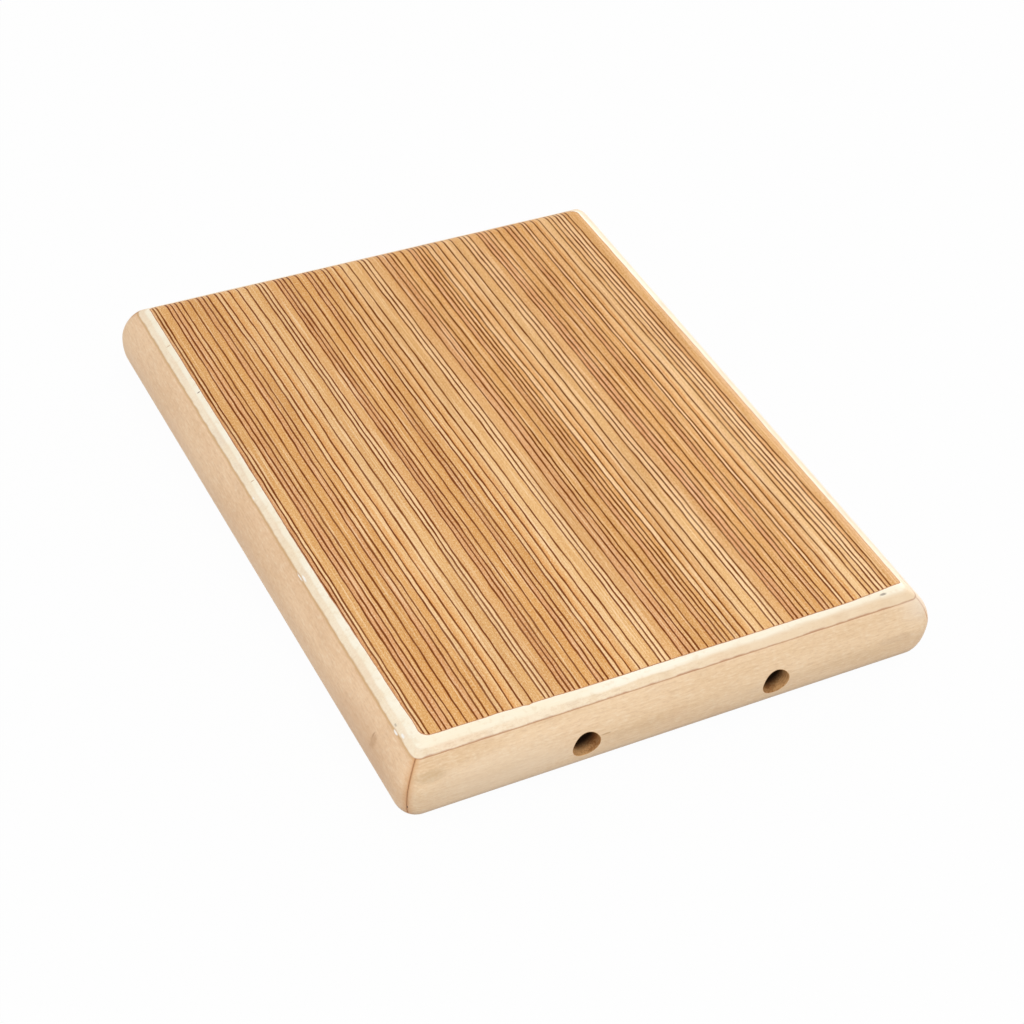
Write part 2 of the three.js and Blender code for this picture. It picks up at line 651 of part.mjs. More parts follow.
function addTuners(body) {
  const ringStart = BRACKET_SHEET + RUNNING_GAP;
  const ringBore = TUNING_SCREW_RADIUS + RUNNING_GAP;
  const washer = flatRing(WASHER_RADIUS, ringBore, -WASHER_THICKNESS, WASHER_THICKNESS);
  const ring = flatRing(RING_RADIUS, ringBore, ringStart, RING_THICKNESS);
  TUNER_X.forEach((x, i) => {
    const tuner = new THREE.Group();
    tuner.position.set(x, -CAVITY_Y, KEY_HOLE_HEIGHT);
    body.add(tuner);
    const side = SIDE_NAMES[i];
    piece(`tuner_bracket_${side}`, tunerBracket(), STEEL, tuner);
    piece(`tuning_screw_${side}`, tuningScrew(), BLACK_STEEL, tuner);
    piece(`thrust_washer_${side}`, washer, STEEL, tuner);
    piece(`retaining_ring_${side}`, ring, STEEL, tuner);
    piece(`string_carriage_${side}`, stringCarriage(), STEEL, tuner, [0, CARRIAGE_REST, 0]);
  });
  bracketScrewPlaces().forEach((place, i) => {
    piece(`tuner_bracket_screw_${i + 1}`, woodScrew(), STEEL, body, place);
  });
}

function addStrings(body) {
  TUNER_X.forEach((x, i) => {
    spread(STRINGS_PER_SET, STRING_PITCH).forEach((dx, number) => {
      const name = `snare_string_${SIDE_NAMES[i]}_${number + 1}`;
      piece(name, snareString(), STRING_STEEL, body, [x + dx, 0, 0]);
    });
    piece(`string_anchor_${SIDE_NAMES[i]}`, stringAnchor(), STEEL, body, [x, CAVITY_Y, ANCHOR_SHELF_TOP]);
  });
  anchorScrewPlaces().forEach((place, i) => {
    piece(`string_anchor_screw_${i + 1}`, facingRear(woodScrew()), STEEL, body, place);
  });
  const bridgePlaces = { front: FRONT_BRIDGE_PLACE - CAVITY_Y, rear: CAVITY_Y - REAR_BRIDGE_PLACE };
  Object.entries(bridgePlaces).forEach(([end, y]) => {
    piece(`string_bridge_${end}`, bridge(), finish(WOOD.beech, 0.6), body, [0, y, BRIDGE_TOP]);
  });
}

const cajon = new THREE.Group();
const body = new THREE.Group();
body.position.z = PAD_THICKNESS;
cajon.add(body);
addFrame(body);
addPlate(body);
addBack(body);
addTuners(body);
addStrings(body);

export default cajon;
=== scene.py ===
import math

import bmesh
import bpy
from mathutils import Matrix, Vector, noise


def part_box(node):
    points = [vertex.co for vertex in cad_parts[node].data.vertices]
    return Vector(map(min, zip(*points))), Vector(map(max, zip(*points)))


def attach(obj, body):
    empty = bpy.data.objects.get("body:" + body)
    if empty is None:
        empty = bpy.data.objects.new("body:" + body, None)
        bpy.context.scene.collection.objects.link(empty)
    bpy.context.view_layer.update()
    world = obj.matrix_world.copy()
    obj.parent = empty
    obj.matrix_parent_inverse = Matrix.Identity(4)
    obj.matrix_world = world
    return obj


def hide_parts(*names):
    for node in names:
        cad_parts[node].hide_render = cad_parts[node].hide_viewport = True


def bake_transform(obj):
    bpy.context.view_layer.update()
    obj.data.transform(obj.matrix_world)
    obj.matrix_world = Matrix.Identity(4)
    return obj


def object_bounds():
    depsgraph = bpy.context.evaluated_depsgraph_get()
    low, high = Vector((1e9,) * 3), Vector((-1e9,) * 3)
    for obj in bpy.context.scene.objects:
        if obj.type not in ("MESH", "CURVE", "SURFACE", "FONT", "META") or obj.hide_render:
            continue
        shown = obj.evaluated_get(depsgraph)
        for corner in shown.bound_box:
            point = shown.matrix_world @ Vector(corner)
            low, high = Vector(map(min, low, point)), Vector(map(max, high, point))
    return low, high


# Lengths are millimetres in the row frame unless a comment says otherwise.
# Heights called h count from the underside of the rails.

MM = 0.001
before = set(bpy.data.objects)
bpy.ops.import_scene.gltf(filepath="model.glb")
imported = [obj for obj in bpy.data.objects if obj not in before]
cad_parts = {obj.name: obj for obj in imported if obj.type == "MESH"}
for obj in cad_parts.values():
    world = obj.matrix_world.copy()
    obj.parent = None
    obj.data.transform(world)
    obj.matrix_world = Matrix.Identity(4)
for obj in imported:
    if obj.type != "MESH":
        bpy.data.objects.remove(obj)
cad_low, cad_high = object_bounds()
high_corner = Vector(cad_high) / MM


def node_box(node):
    """The lowest and highest corners of a CAD node, in millimetres."""
    low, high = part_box(node)
    return low / MM, high / MM


def node_middle(node):
    low, high = node_box(node)
    return (low + high) / 2


# Sizes that the frame gives
HALF_X = high_corner.x
HALF_Y = high_corner.y
BASE = node_box("front_rail")[0].z
SEAM = node_box("front_rail")[1].z - BASE
GLUE_LINE = node_box("tapa_veneer")[0].z - BASE
TOP = high_corner.z - BASE
CAVITY_Y = -node_box("tuner_bracket_left")[0].y
PANEL_LOW, PANEL_HIGH = node_box("back_panel")
PANEL_THICKNESS = PANEL_HIGH.z - PANEL_LOW.z
RAIL_WIDTH = HALF_X - node_box("string_bridge_front")[1].x
RABBET_INSET = HALF_X - PANEL_HIGH.x - 0.3

# The rounded edge, as the solids have it
CORNER_RADIUS = 10.8
CREST_RADIUS = 2.5
WIDEST = 17
TOP_DEPTH = 15
TOP_FULLNESS = 1.665
BOTTOM_DEPTH = 9
BOTTOM_FULLNESS = 2.19
GLUE_GAP = 0.1

# Key holes
KEY_HOLE_X = 43.5
KEY_HOLE_H = 15.7
KEY_HOLE_RADIUS = 6
WINDOW = 9
WINDOW_STEPS = 12
RIM = 0.25


def edge_half(above):
    """Rise, depth and fullness of the rounded edge above or below its widest line."""
    if above:
        return TOP - WIDEST, TOP_DEPTH, TOP_FULLNESS
    return WIDEST, BOTTOM_DEPTH, BOTTOM_FULLNESS


def edge_inset(h):
    """How far the surface lies inside the widest line at a height."""
    rise, depth, fullness = edge_half(h > WIDEST)
    share = min(1.0, abs(h - WIDEST) / rise)
    return depth * (1 - (1 - share**fullness) ** (1 / fullness))


def edge_height(inset):
    """The height at which the upper surface lies this far in."""
    left = max(0.0, 1 - inset / TOP_DEPTH)
    share = (1 - left**TOP_FULLNESS) ** (1 / TOP_FULLNESS)
    return WIDEST + (TOP - WIDEST) * share


def curve_heights(start, end, steps):
    """Heights from start to end, spread along one half of the rounded edge."""
    above = max(start, end) > WIDEST
    rise, _, fullness = edge_half(above)
    half = fullness / 2
    turns = [math.asin(min(1.0, abs(h - WIDEST) / rise) ** half) for h in (start, end)]
    reach = rise if above else -rise
    return [
        WIDEST + reach * math.sin(turns[0] + (turns[1] - turns[0]) * i / steps) ** (1 / half)
        for i in range(steps + 1)
    ]


def corner_radius(inset):
    return max(CORNER_RADIUS - inset, CREST_RADIUS)


def outline_point(half_x, half_y, radius, quarter, share):
    """A point on a rectangle's rounded corner. The quarters go anticlockwise from +X +Y."""
    sign_x = (1, -1, -1, 1)[quarter]
    sign_y = (1, 1, -1, -1)[quarter]
    turn = math.pi / 2 * (quarter + share)
    return Vector((sign_x * (half_x - radius) + radius * math.cos(turn),
                   sign_y * (half_y - radius) + radius * math.sin(turn)))


# Materials


def srgb(red, green, blue):
    """The linear values of a colour given in 0 to 255 display values."""
    linear = []
    for value in (red, green, blue):
        c = value / 255
        linear.append(c / 12.92 if c <= 0.04045 else ((c + 0.055) / 1.055) ** 2.4)
    return (*linear, 1.0)


class Nodes:
    """Short ways to add nodes to a tree."""

    def __init__(self, tree):
        self.tree = tree

    def node(self, kind, **settings):
        node = self.tree.nodes.new(kind)
        for key, value in settings.items():
            setattr(node, key, value)
        return node

    def feed(self, socket, value):
        """Link or set a socket. A tuple of three is a colour in display values."""
        if isinstance(value, bpy.types.NodeSocket):
            self.tree.links.new(value, socket)
        else:
            colour = isinstance(value, tuple) and len(value) == 3
            socket.default_value = srgb(*value) if colour else value

    def math(self, operation, first, second=0.0):
        node = self.node("ShaderNodeMath", operation=operation)
        self.feed(node.inputs[0], first)
        self.feed(node.inputs[1], second)
        return node.outputs[0]

    def add(self, first, second):
        return self.math("ADD", first, second)

    def minus(self, first, second):
        return self.math("SUBTRACT", first, second)

    def times(self, first, second):
        return self.math("MULTIPLY", first, second)


class Look(Nodes):
    """A material with one Principled shader."""

    def __init__(self, name, **values):
        self.material = bpy.data.materials.new(name)
        self.material.use_nodes = True
        super().__init__(self.material.node_tree)
        self.place = self.node("ShaderNodeTexCoord").outputs["Object"]
        for socket, value in values.items():
            self.set(socket.replace("_", " "), value)

    def set(self, name, value):
        self.feed(self.tree.nodes["Principled BSDF"].inputs[name], value)

    def vector(self, operation, first, second=(0, 0, 0)):
        """The outputs of a vector sum whose second part is plain numbers."""
        node = self.node("ShaderNodeVectorMath", operation=operation)
        self.feed(node.inputs[0], first)
        node.inputs[1].default_value = second
        return node.outputs

    def axes(self):
        """X, Y and Z of the place, in millimetres."""
        split = self.node("ShaderNodeSeparateXYZ")
        self.feed(split.inputs[0], self.vector("MULTIPLY", self.place, (1000, 1000, 1000))[0])
        return split.outputs

    def noise(self, scale, detail=2.0, roughness=0.5):
        """Noise from about 0 to 1 with a pattern size in millimetres along each axis."""
        node = self.node("ShaderNodeTexNoise")
        stretched = self.vector("MULTIPLY", self.place, [1000 / size for size in scale])[0]
        settings = {"Vector": stretched, "Scale": 1.0, "Detail": detail, "Roughness": roughness}
        for name, value in settings.items():
            self.feed(node.inputs[name], value)
        return node.outputs["Fac"]

    def between(self, value, low, high, to_low=0.0, to_high=1.0):
        """A smooth step between two results as a value goes from low to high."""
        node = self.node("ShaderNodeMapRange", interpolation_type="SMOOTHSTEP")
        for socket, number in zip(node.inputs, (value, low, high, to_low, to_high)):
            self.feed(socket, number)
        return node.outputs[0]

    def mix(self, factor, first, second):
        node = self.node("ShaderNodeMix", data_type="RGBA")
        for number, value in ((0, factor), (6, first), (7, second)):
            self.feed(node.inputs[number], value)
        return node.outputs[2]

    def tint(self, colour, value, start, end, strength, tone):
        """The colour under a tone that grows to a strength as a value goes from start to end."""
        return self.mix(self.between(value, start, end, 0.0, strength), colour, tone)

    def ramp(self, value, stops):
        """A colour ramp from (place, colour) pairs. Gives its colour and its alpha."""
        node = self.node("ShaderNodeValToRGB")
        elements = node.color_ramp.elements
        elements[0].position, elements[0].color = stops[0]
        elements[1].position, elements[1].color = stops[-1]
        for place, colour in stops[1:-1]:
            elements.new(place).color = colour
        self.feed(node.inputs[0], value)
        return node.outputs

    def surface(self, colour, relief, depth, strength):
        """The colour, and a bump whose full height is a depth in millimetres."""
        self.set("Base Color", colour)
        node = self.node("ShaderNodeBump")
        for name, value in (("Strength", strength), ("Distance", depth * MM), ("Height", relief)):
            self.feed(node.inputs[name], value)
        self.set("Normal", node.outputs[0])
        return self


def along_axis(axis, along, across, third=None):
    """Pattern sizes for X, Y and Z with the long one on the axis given."""
    sizes = [across, across if third is None else third]
    sizes.insert("XYZ".index(axis), along)
    return sizes


def wood_colour(look, axis, pale, dark, contrast=1.0):
    """Mottling, fibres and pores that run along an axis. Gives the colour and the fibres."""
    broad = look.noise(along_axis(axis, 60, 14, 9), 4)
    fibres = look.noise(along_axis(axis, 22, 0.55, 0.55), 3, 0.6)
    pores = look.between(look.noise(along_axis(axis, 3.2, 0.22, 0.22), 1), 0.66, 0.78)
    tone = look.add(look.times(broad, 1.5), look.times(fibres, 0.8))
    tone = look.add(look.times(tone, contrast), 0.5 - 1.15 * contrast)
    colour = look.mix(look.between(tone, 0.1, 0.9), pale, dark)
    return look.mix(look.times(pores, 0.25 * contrast), colour, dark), fibres


def figure(look, colour, axis, amount):
    """The faint figure of maple: flecks across the grain, soft patches and a fine grain."""
    flecks = look.noise(along_axis(axis, 1.5, 4.5, 4.5))
    patches = look.noise((11, 11, 7))
    rosy = look.noise((23, 23, 12), 1)
    fine = look.noise(along_axis(axis, 3.4, 0.8, 0.8), 2, 0.7)
    for row in (
        (flecks, 0.46, 0.76, 0.5 * amount, (252, 234, 208)),
        (patches, 0.52, 0.75, 0.5 * amount, (206, 176, 148)),
        (rosy, 0.5, 0.75, 0.5 * amount, (232, 192, 160)),
        (fine, 0.5, 0.28, 0.28, (204, 166, 130)),
        (fine, 0.5, 0.72, 0.28, (255, 240, 218)),
    ):
        colour = look.tint(colour, *row)
    return colour


def simple_wood(name, axis, pale, dark, roughness=0.6, contrast=1.0):
    look = Look(name, Roughness=roughness, Specular_IOR_Level=0.3)
    return look.surface(*wood_colour(look, axis, pale, dark, contrast), 0.03, 0.5)


# Meshes


def link(piece):
    bpy.context.scene.collection.objects.link(piece)
    return piece


def smooth(mesh, sharp):
    """Smooth shading that stops at edges sharper than an angle in degrees."""
    mesh.polygons.foreach_set("use_smooth", [True] * len(mesh.polygons))
    mesh.set_sharp_from_angle(angle=math.radians(sharp))
    return mesh


def make_mesh(name, points, faces, looks, face_looks=None, sharp=35):
    """A mesh from points in millimetres, with doubles merged and normals outward."""
    mesh = bpy.data.meshes.new(name)
    mesh.from_pydata([Vector(point) * MM for point in points], [], faces)
    for look in looks:
        mesh.materials.append(look.material)
    if face_looks:
        mesh.polygons.foreach_set("material_index", face_looks)
    work = bmesh.new()
    work.from_mesh(mesh)
    bmesh.ops.remove_doubles(work, verts=work.verts, dist=1e-7)
    bmesh.ops.recalc_face_normals(work, faces=work.faces)
    work.to_mesh(mesh)
    work.free()
    return smooth(mesh, sharp)


def show(name, mesh, slot, nodes=(), body="drum", place=None):
    """A piece from a mesh, riding on a body and standing for CAD nodes."""
    piece = link(bpy.data.objects.new(name, mesh))
    if place is not None:
        piece.matrix_world = place
    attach(piece, body)
    if nodes:
        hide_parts(*nodes)
    return piece


def soften(piece, width, segments=2, angle=40):
    """A fine bevel on a piece's hard edges."""
    bevel = piece.modifiers.new("soft edges", "BEVEL")
    bevel.width = width * MM
    bevel.segments = segments
    bevel.limit_method = "ANGLE"
    bevel.angle_limit = math.radians(angle)
    bevel.harden_normals = True


def ring_faces(count, levels):
    """Quads between closed rings of points that follow each other in a list."""
    faces = []
    for level in range(levels - 1):
        for i in range(count):
            a = level * count + i
            b = level * count + (i + 1) % count
            faces.append((a, b, b + count, a + count))
    return faces


def lidded(points, count):
    """Points in rings of a count, and the faces round them with a lid at each end."""
    last = len(points) - count
    lids = [tuple(range(count))[::-1], tuple(range(last, last + count))]
    return points, ring_faces(count, len(points) // count) + lids


def turned(profile, sides, shape=None):
    """Points and faces of (radius, place) pairs turned round Z. shape can change a radius."""
    points = []
    for radius, place in profile:
        for i in range(sides):
            turn = 2 * math.pi * i / sides
            r = shape(radius, place, turn) if shape else radius
            points.append((r * math.cos(turn), r * math.sin(turn), place))
    return lidded(points, sides)


def tube(path, radius, sides):
    """Points and faces of a round wire along a path."""
    points = []
    side = Vector((0, 0, 1))
    for i, point in enumerate(path):
        ahead = (Vector(path[min(i + 1, len(path) - 1)]) - Vector(path[max(i - 1, 0)])).normalized()
        side = (side - ahead * side.dot(ahead)).normalized()
        other = ahead.cross(side)
        for k in range(sides):
            turn = 2 * math.pi * k / sides
            points.append(Vector(point) + radius * (side * math.cos(turn) + other * math.sin(turn)))
    return lidded(points, sides)


def joined(parts):
    """One list of points and one of faces from several."""
    points = []
    faces = []
    for part_points, part_faces in parts:
        start = len(points)
        points.extend(part_points)
        faces.extend(tuple(start + i for i in face) for face in part_faces)
    return points, faces


def moved(part, matrix):
    return [matrix @ Vector(point) for point in part[0]], part[1]


def at(x, y, z):
    """The move to a place in millimetres, for a piece."""
    return Matrix.Translation(Vector((x, y, z)) * MM)


def rotation(axis, degrees):
    return Matrix.Rotation(math.radians(degrees), 4, axis)


def cut(mesh, cutters):
    """The mesh with other closed meshes taken out of it."""
    piece = link(bpy.data.objects.new("blank", mesh))
    tools = [link(bpy.data.objects.new("cutter", cutter)) for cutter in cutters]
    for tool in tools:
        boolean = piece.modifiers.new("cut", "BOOLEAN")
        boolean.operation = "DIFFERENCE"
        boolean.solver = "EXACT"
        boolean.object = tool
    bpy.context.view_layer.update()
    whole = piece.evaluated_get(bpy.context.evaluated_depsgraph_get())
    result = bpy.data.meshes.new_from_object(whole)
    for used in (piece, *tools):
        bpy.data.objects.remove(used)
    return result


# Looks of the rails


def marked(look, colour, marks):
    """The colour under soft stains and painted shadows, each a (centre, size, tone, strength)."""
    for centre, size, tone, strength in marks:
        offset = look.vector("SUBTRACT", look.place, [value * MM for value in centre])[0]
        scaled = look.vector("MULTIPLY", offset, [1 / (value * MM) for value in size])[0]
        distance = look.vector("LENGTH", scaled)["Value"]
        ragged = look.add(distance, look.times(look.noise((1, 1, 1)), 0.6))
        colour = look.tint(colour, ragged, 1.3, 0.7, strength, tone)
    return colour


SEAM_TONE = (178, 120, 84)
SOFT_SEAM_TONE = (206, 166, 118)
CHIP_TONE = (252, 250, 246)
GREY_TONE = (150, 138, 126)


def rail_look(name, axis, pale, dark, seam_tone, seam_width, marks):
    """Maple with the seam under the plate, stained mitres, painted shade along the foot and painted light at
    the right end.
    """
    look = Look(name, Roughness=0.52, Specular_IOR_Level=0.22)
    colour, fibres = wood_colour(look, axis, pale, dark, 0.8)
    colour = figure(look, colour, axis, 0.22)
    x, y, z = look.axes()
    uneven = look.noise((6, 6, 6), 3)
    below = look.add(look.minus(BASE + SEAM, z), look.times(look.minus(uneven, 0.5), seam_width))
    seam = look.between(below, 0.06, seam_width, 1.0, 0.0)
    seam = look.times(seam, look.between(uneven, 0.3, 0.65, 0.6, 0.85))
    low = look.minus(z, BASE)
    # Painted shade: a band low on the rounded foot that darkens towards the underside, standing in for the
    # shade under the rail.
    foot = look.times(look.between(low, 3.6, 9.0, 0.36, 0.0), look.between(low, 0.8, 4.2))
    sideways = look.minus(look.math("ABSOLUTE", x), look.math("ABSOLUTE", y))
    mitre = look.math("ABSOLUTE", look.minus(sideways, HALF_X - HALF_Y))
    reach = look.between(x, -60, 60, 5.8, 3.4)
    stain = look.between(look.add(mitre, look.times(uneven, 3)), 1.2, reach, 0.6, 0.0)
    joint = look.between(mitre, 0.1, look.between(x, -60, 60, 1.1, 0.6), 0.6, 0.0)
    # Painted light: the right end of the rails is lightened towards near-white, as if washed out by light
    # from the right.
    painted_right_light = look.times(look.between(x, 100, 118, 0.0, 0.5), look.between(low, 20, 28))
    for share, tone in (
        (seam, seam_tone), (foot, (134, 112, 92)), (stain, (216, 162, 110)),
        (joint, (182, 122, 76)), (painted_right_light, (253, 243, 228)),
    ):
        colour = look.mix(share, colour, tone)
    return look.surface(marked(look, colour, marks), fibres, 0.02, 0.4)


FRONT_MARKS = (
    ((-110, -152.5, 26), (9, 5, 3.2), (190, 160, 120), 0.4),
    ((-35.1, -155.8, 20.7), (3, 2, 0.5), (180, 138, 94), 0.5),
    ((102, -155.4, 20), (12, 3, 2.6), (200, 168, 138), 0.24),
    ((-118.8, -152.5, 11.8), (0.45, 0.45, 1.1), (70, 46, 30), 0.9),
    ((-80, -154, 18), (45, 8, 14), (252, 234, 210), 0.32),
)
LEFT_MARKS = (
    ((-121.5, -126.2, 23.4), (3, 2.6, 5), (190, 150, 112), 0.5),
    ((-121.4, -124.6, 25), (3, 0.7, 1.6), (156, 112, 80), 0.5),
    # Painted shadow: a dark line just below the white chip above it.
    ((-115.3, -41.5, 31.3), (0.6, 3.6, 0.4), (150, 112, 84), 0.6),
    ((-114.9, -40.5, 31.9), (0.8, 3.6, 0.4), CHIP_TONE, 0.95),
    ((-115.2, -132.5, 31.9), (0.8, 2.4, 0.5), CHIP_TONE, 0.95),
    ((-121, -118, 16), (8, 42, 18), (206, 166, 132), 0.3),
)
end_rail_look = rail_look(
    "maple along X", "X", (245, 216, 180), (230, 197, 157), SEAM_TONE, 0.3, FRONT_MARKS)
side_rail_look = rail_look(
    "maple along Y", "Y", (244, 211, 174), (230, 193, 154), SOFT_SEAM_TONE, 0.9, LEFT_MARKS)


def drilled_look():
    """The wall of a drilled hole: darker wood, and painted shade that grows nearly black further in."""
    look = Look("drilled maple", Roughness=0.8, Specular_IOR_Level=0.15)
    colour, fibres = wood_colour(look, "Z", (222, 176, 122), (160, 108, 62), 1.5)
    depth = look.add(look.axes()[1], HALF_Y)
    # Painted shade: the wall goes nearly black with depth into the hole.
    return look.surface(look.tint(colour, depth, 2.5, 7.5, 0.97, (38, 24, 14)), fibres, 0.05, 0.6)


bore_look = drilled_look()


# Rails

WINDOW_PLACES = [WINDOW * math.tan(math.radians(45 * (2 * i / WINDOW_STEPS - 1)))
                 for i in range(WINDOW_STEPS + 1)]


def rail_section():
    """A rail's section as (inset, h, whether it follows the rounded corner), round the loop."""
    middle = [KEY_HOLE_H + place for place in WINDOW_PLACES]
    foot = curve_heights(0, middle[0], 9)[:-1]
    head = curve_heights(middle[-1], SEAM, 6)[1:]
    face = [(edge_inset(h), h, True) for h in (*foot, *middle, *head)]
    wall = [(RAIL_WIDTH, h, False) for h in (SEAM, *middle[::-1], PANEL_THICKNESS)]
    rabbet = [(RABBET_INSET, PANEL_THICKNESS, False), (RABBET_INSET, 0, False)]
    return face + wall + rabbet, len(foot), len(face) + 1


def rail_point(column, inset, rounded, half_run, half_depth, last):
    """(along, outward) of a section point at a column, which is (kind, share)."""
    kind, share = column
    if kind == "fixed":
        return share, half_depth - inset
    sign = 1 if share > 0 else -1
    share = abs(share)
    radius = corner_radius(inset) if rounded else 0
    slack = 0 if rounded else GLUE_GAP / math.sqrt(2)
    limit = half_run - inset - radius - slack
    if kind == "run":
        return sign * (last + (limit - last) * share), half_depth - inset
    if not rounded:
        return sign * limit, half_depth - inset
    turn = share * (math.pi / 4 - math.asin(GLUE_GAP / 2 / radius))
    return sign * (limit + radius * math.sin(turn)), half_depth - inset - radius * (1 - math.cos(turn))


def make_rail(name, outward, half_run, half_depth, look, holes):
    """One mitred rail. outward is the way that its rounded face looks."""
    along = Vector((-outward.y, outward.x, 0))
    section, face_window, wall_window = rail_section()
    last = 0.6 * half_run
    fixed = {-last, 0, last} | {hole + place for hole in holes for place in WINDOW_PLACES}
    ends = [("run", share) for share in (0.25, 0.5, 0.75, 1.0)] + [("arc", i / 9) for i in range(1, 10)]
    columns = [(kind, -share) for kind, share in ends[::-1]]
    columns += [("fixed", t) for t in sorted(fixed)] + ends

    def place(t, out, h):
        point = along * t + outward * out
        return Vector((point.x, point.y, h + BASE))

    points = []
    for column in columns:
        for inset, h, rounded in section:
            points.append(place(*rail_point(column, inset, rounded, half_run, half_depth, last), h))
    count = len(section)
    faces = []
    for j, (kind, t) in enumerate(columns[:-1]):
        inside = kind == "fixed" and any(-0.001 < t - hole + WINDOW < 2 * WINDOW - 0.001 for hole in holes)
        for i in range(count):
            in_face = face_window <= i < face_window + WINDOW_STEPS
            in_wall = wall_window <= i < wall_window + WINDOW_STEPS
            if not (inside and (in_face or in_wall)):
                a = j * count + i
                b = j * count + (i + 1) % count
                faces.append((a, b, b + count, a + count))
    faces += [tuple(range(count)), tuple(range(len(points) - count, len(points)))]
    face_looks = [0] * len(faces)
    for hole in holes:
        add_key_hole(points, faces, face_looks, place, hole, half_depth)
    return make_mesh(name, points, faces, [look, bore_look], face_looks)


def add_key_hole(points, faces, face_looks, place, centre, half_depth):
    """A round hole through a rail, between square windows in its face and its inner wall."""
    sides = 4 * WINDOW_STEPS
    turns = [math.radians(45 + 360 * i / sides) for i in range(sides)]

    def ring(spread, radius, depth, wall=False):
        """Points between the window's edge and a circle, below the face or on the inner wall."""
        start = len(points)
        for turn in turns:
            across, up = math.cos(turn), math.sin(turn)
            reach = spread * WINDOW / max(abs(across), abs(up)) + (1 - spread) * radius
            h = KEY_HOLE_H + up * reach
            inset = RAIL_WIDTH if wall else edge_inset(h) + depth
            points.append(place(centre + across * reach, half_depth - inset, h))
        return start

    starts = [ring(spread, KEY_HOLE_RADIUS + RIM, 0) for spread in (1, 0.7, 0.4, 0.15)]
    in_face = len(starts)
    for turn in (0, 22.5, 45, 67.5, 90):
        rim = RIM * (1 - math.sin(math.radians(turn)))
        starts.append(ring(0, KEY_HOLE_RADIUS + rim, RIM * (1 - math.cos(math.radians(turn)))))
    starts += [ring(0, KEY_HOLE_RADIUS, 0, wall=True), ring(1, KEY_HOLE_RADIUS, 0, wall=True)]
    for number, (first, second) in enumerate(zip(starts, starts[1:])):
        for i in range(sides):
            k = (i + 1) % sides
            faces.append((first + i, first + k, second + k, second + i))
            face_looks.append(1 if in_face <= number < len(starts) - 2 else 0)


for name, outward, half_run, half_depth, look, holes in (
    ("front_rail", (0, -1, 0), HALF_X, HALF_Y, end_rail_look, (-KEY_HOLE_X, KEY_HOLE_X)),
    ("rear_rail", (0, 1, 0), HALF_X, HALF_Y, end_rail_look, ()),
    ("left_rail", (-1, 0, 0), HALF_Y, HALF_X, side_rail_look, ()),
    ("right_rail", (1, 0, 0), HALF_Y, HALF_X, side_rail_look, ()),
):
    rail = make_rail(f"{name}_face", Vector(outward), half_run, half_depth, look, holes)
    soften(show(rail.name, rail, "rail_maple", [name]), 0.08)


# Playing plate

PLATE_CORNER_STEPS = 16
PLATE_SIDE_STEPS = (110, 150)
VENEER_NEAR = 13.6
VENEER_REAR = 10.2
VENEER_RIGHT = 11.0
VENEER_LEFT = 12.35
VENEER_CORNERS = {(1, 1): 5.5, (-1, 1): 2, (-1, -1): 4, (1, -1): 1.6}
VENEER_WANDER = 0.24
GLUE_RING = 0.35
FLAT_INSET = 17
UNDER_LAP = 1.5
CORE_STEPS = 10
VENEER_STEPS = 8


def corner_point(quarter, share, inset):
    """A point on the plate's outline at an inset."""
    return outline_point(HALF_X - inset, HALF_Y - inset, corner_radius(inset), quarter, share)


def plate_stations():
    """Places round the plate: (quarter, share of its corner, share of the side after it)."""
    places = []
    for quarter in range(4):
        places += [(quarter, i / PLATE_CORNER_STEPS, 0) for i in range(PLATE_CORNER_STEPS + 1)]
        steps = PLATE_SIDE_STEPS[quarter % 2]
        places += [(quarter, 1, i / steps) for i in range(1, steps)]
    return places


def plate_point(station, inset):
    quarter, share, side = station
    point = corner_point(quarter, share, inset)
    if side:
        point = point.lerp(corner_point((quarter + 1) % 4, 0, inset), side)
    return point


def growth(value, start, end, power=1.5):
    """0 up to the start and 1 at the end, growing by a power."""
    return max(0.0, (value - start) / (end - start)) ** power


def outside_veneer(point):
    """How far a point lies outside the veneer's outline, whose sides bow a little."""
    x, y = point
    left_edge = -HALF_X + VENEER_LEFT + 1.6 * growth(-y, 30, 140)
    right_edge = HALF_X - VENEER_RIGHT - 0.9 * growth(y, 0, 125) - 0.3 * math.exp(-((y + 70) / 25) ** 2)
    near_edge = -HALF_Y + VENEER_NEAR + 1.6 * growth(x, 70, 110, 2) + 0.7 * min(1.0, growth(-x, 35, 80, 1))
    near_edge -= 0.45 * math.exp(-((x + 64) / 0.8) ** 2)
    corner = VENEER_CORNERS[(1 if x > 0 else -1, 1 if y > 0 else -1)]
    dx = max(left_edge - x, x - right_edge) + corner
    dy = max(near_edge - y, y - HALF_Y + VENEER_REAR) + corner
    distance = math.hypot(max(dx, 0), max(dy, 0)) + min(max(dx, dy), 0) - corner
    ripple = noise.noise(Vector((x / 9, y / 9, 3))) + 0.5 * noise.noise(Vector((x / 2.5, y / 2.5, 7)))
    return distance + VENEER_WANDER * ripple


def veneer_inset(station):
    """The inset at which the veneer's edge crosses a station."""
    outer, inner = edge_inset(SEAM) + 1, FLAT_INSET - 0.6
    for _ in range(24):
        middle = (outer + inner) / 2
        if outside_veneer(plate_point(station, middle)) > 0:
            outer = middle
        else:
            inner = middle
    return inner


def plate_ring(insets, heights=None):
    """A ring of points from insets and heights, or at the surface's own heights."""
    if heights is None:
        heights = [edge_height(min(inset, TOP_DEPTH)) for inset in insets]
    points = [plate_point(station, inset) for station, inset in zip(stations, insets)]
    return [(point.x, point.y, h + BASE) for point, h in zip(points, heights)]


def surface_rings(steps, first, second):
    """Rings on the surface from one line of insets, left out, to another."""
    return [plate_ring([a + (b - a) * i / steps for a, b in zip(first, second)]) for i in range(1, steps + 1)]


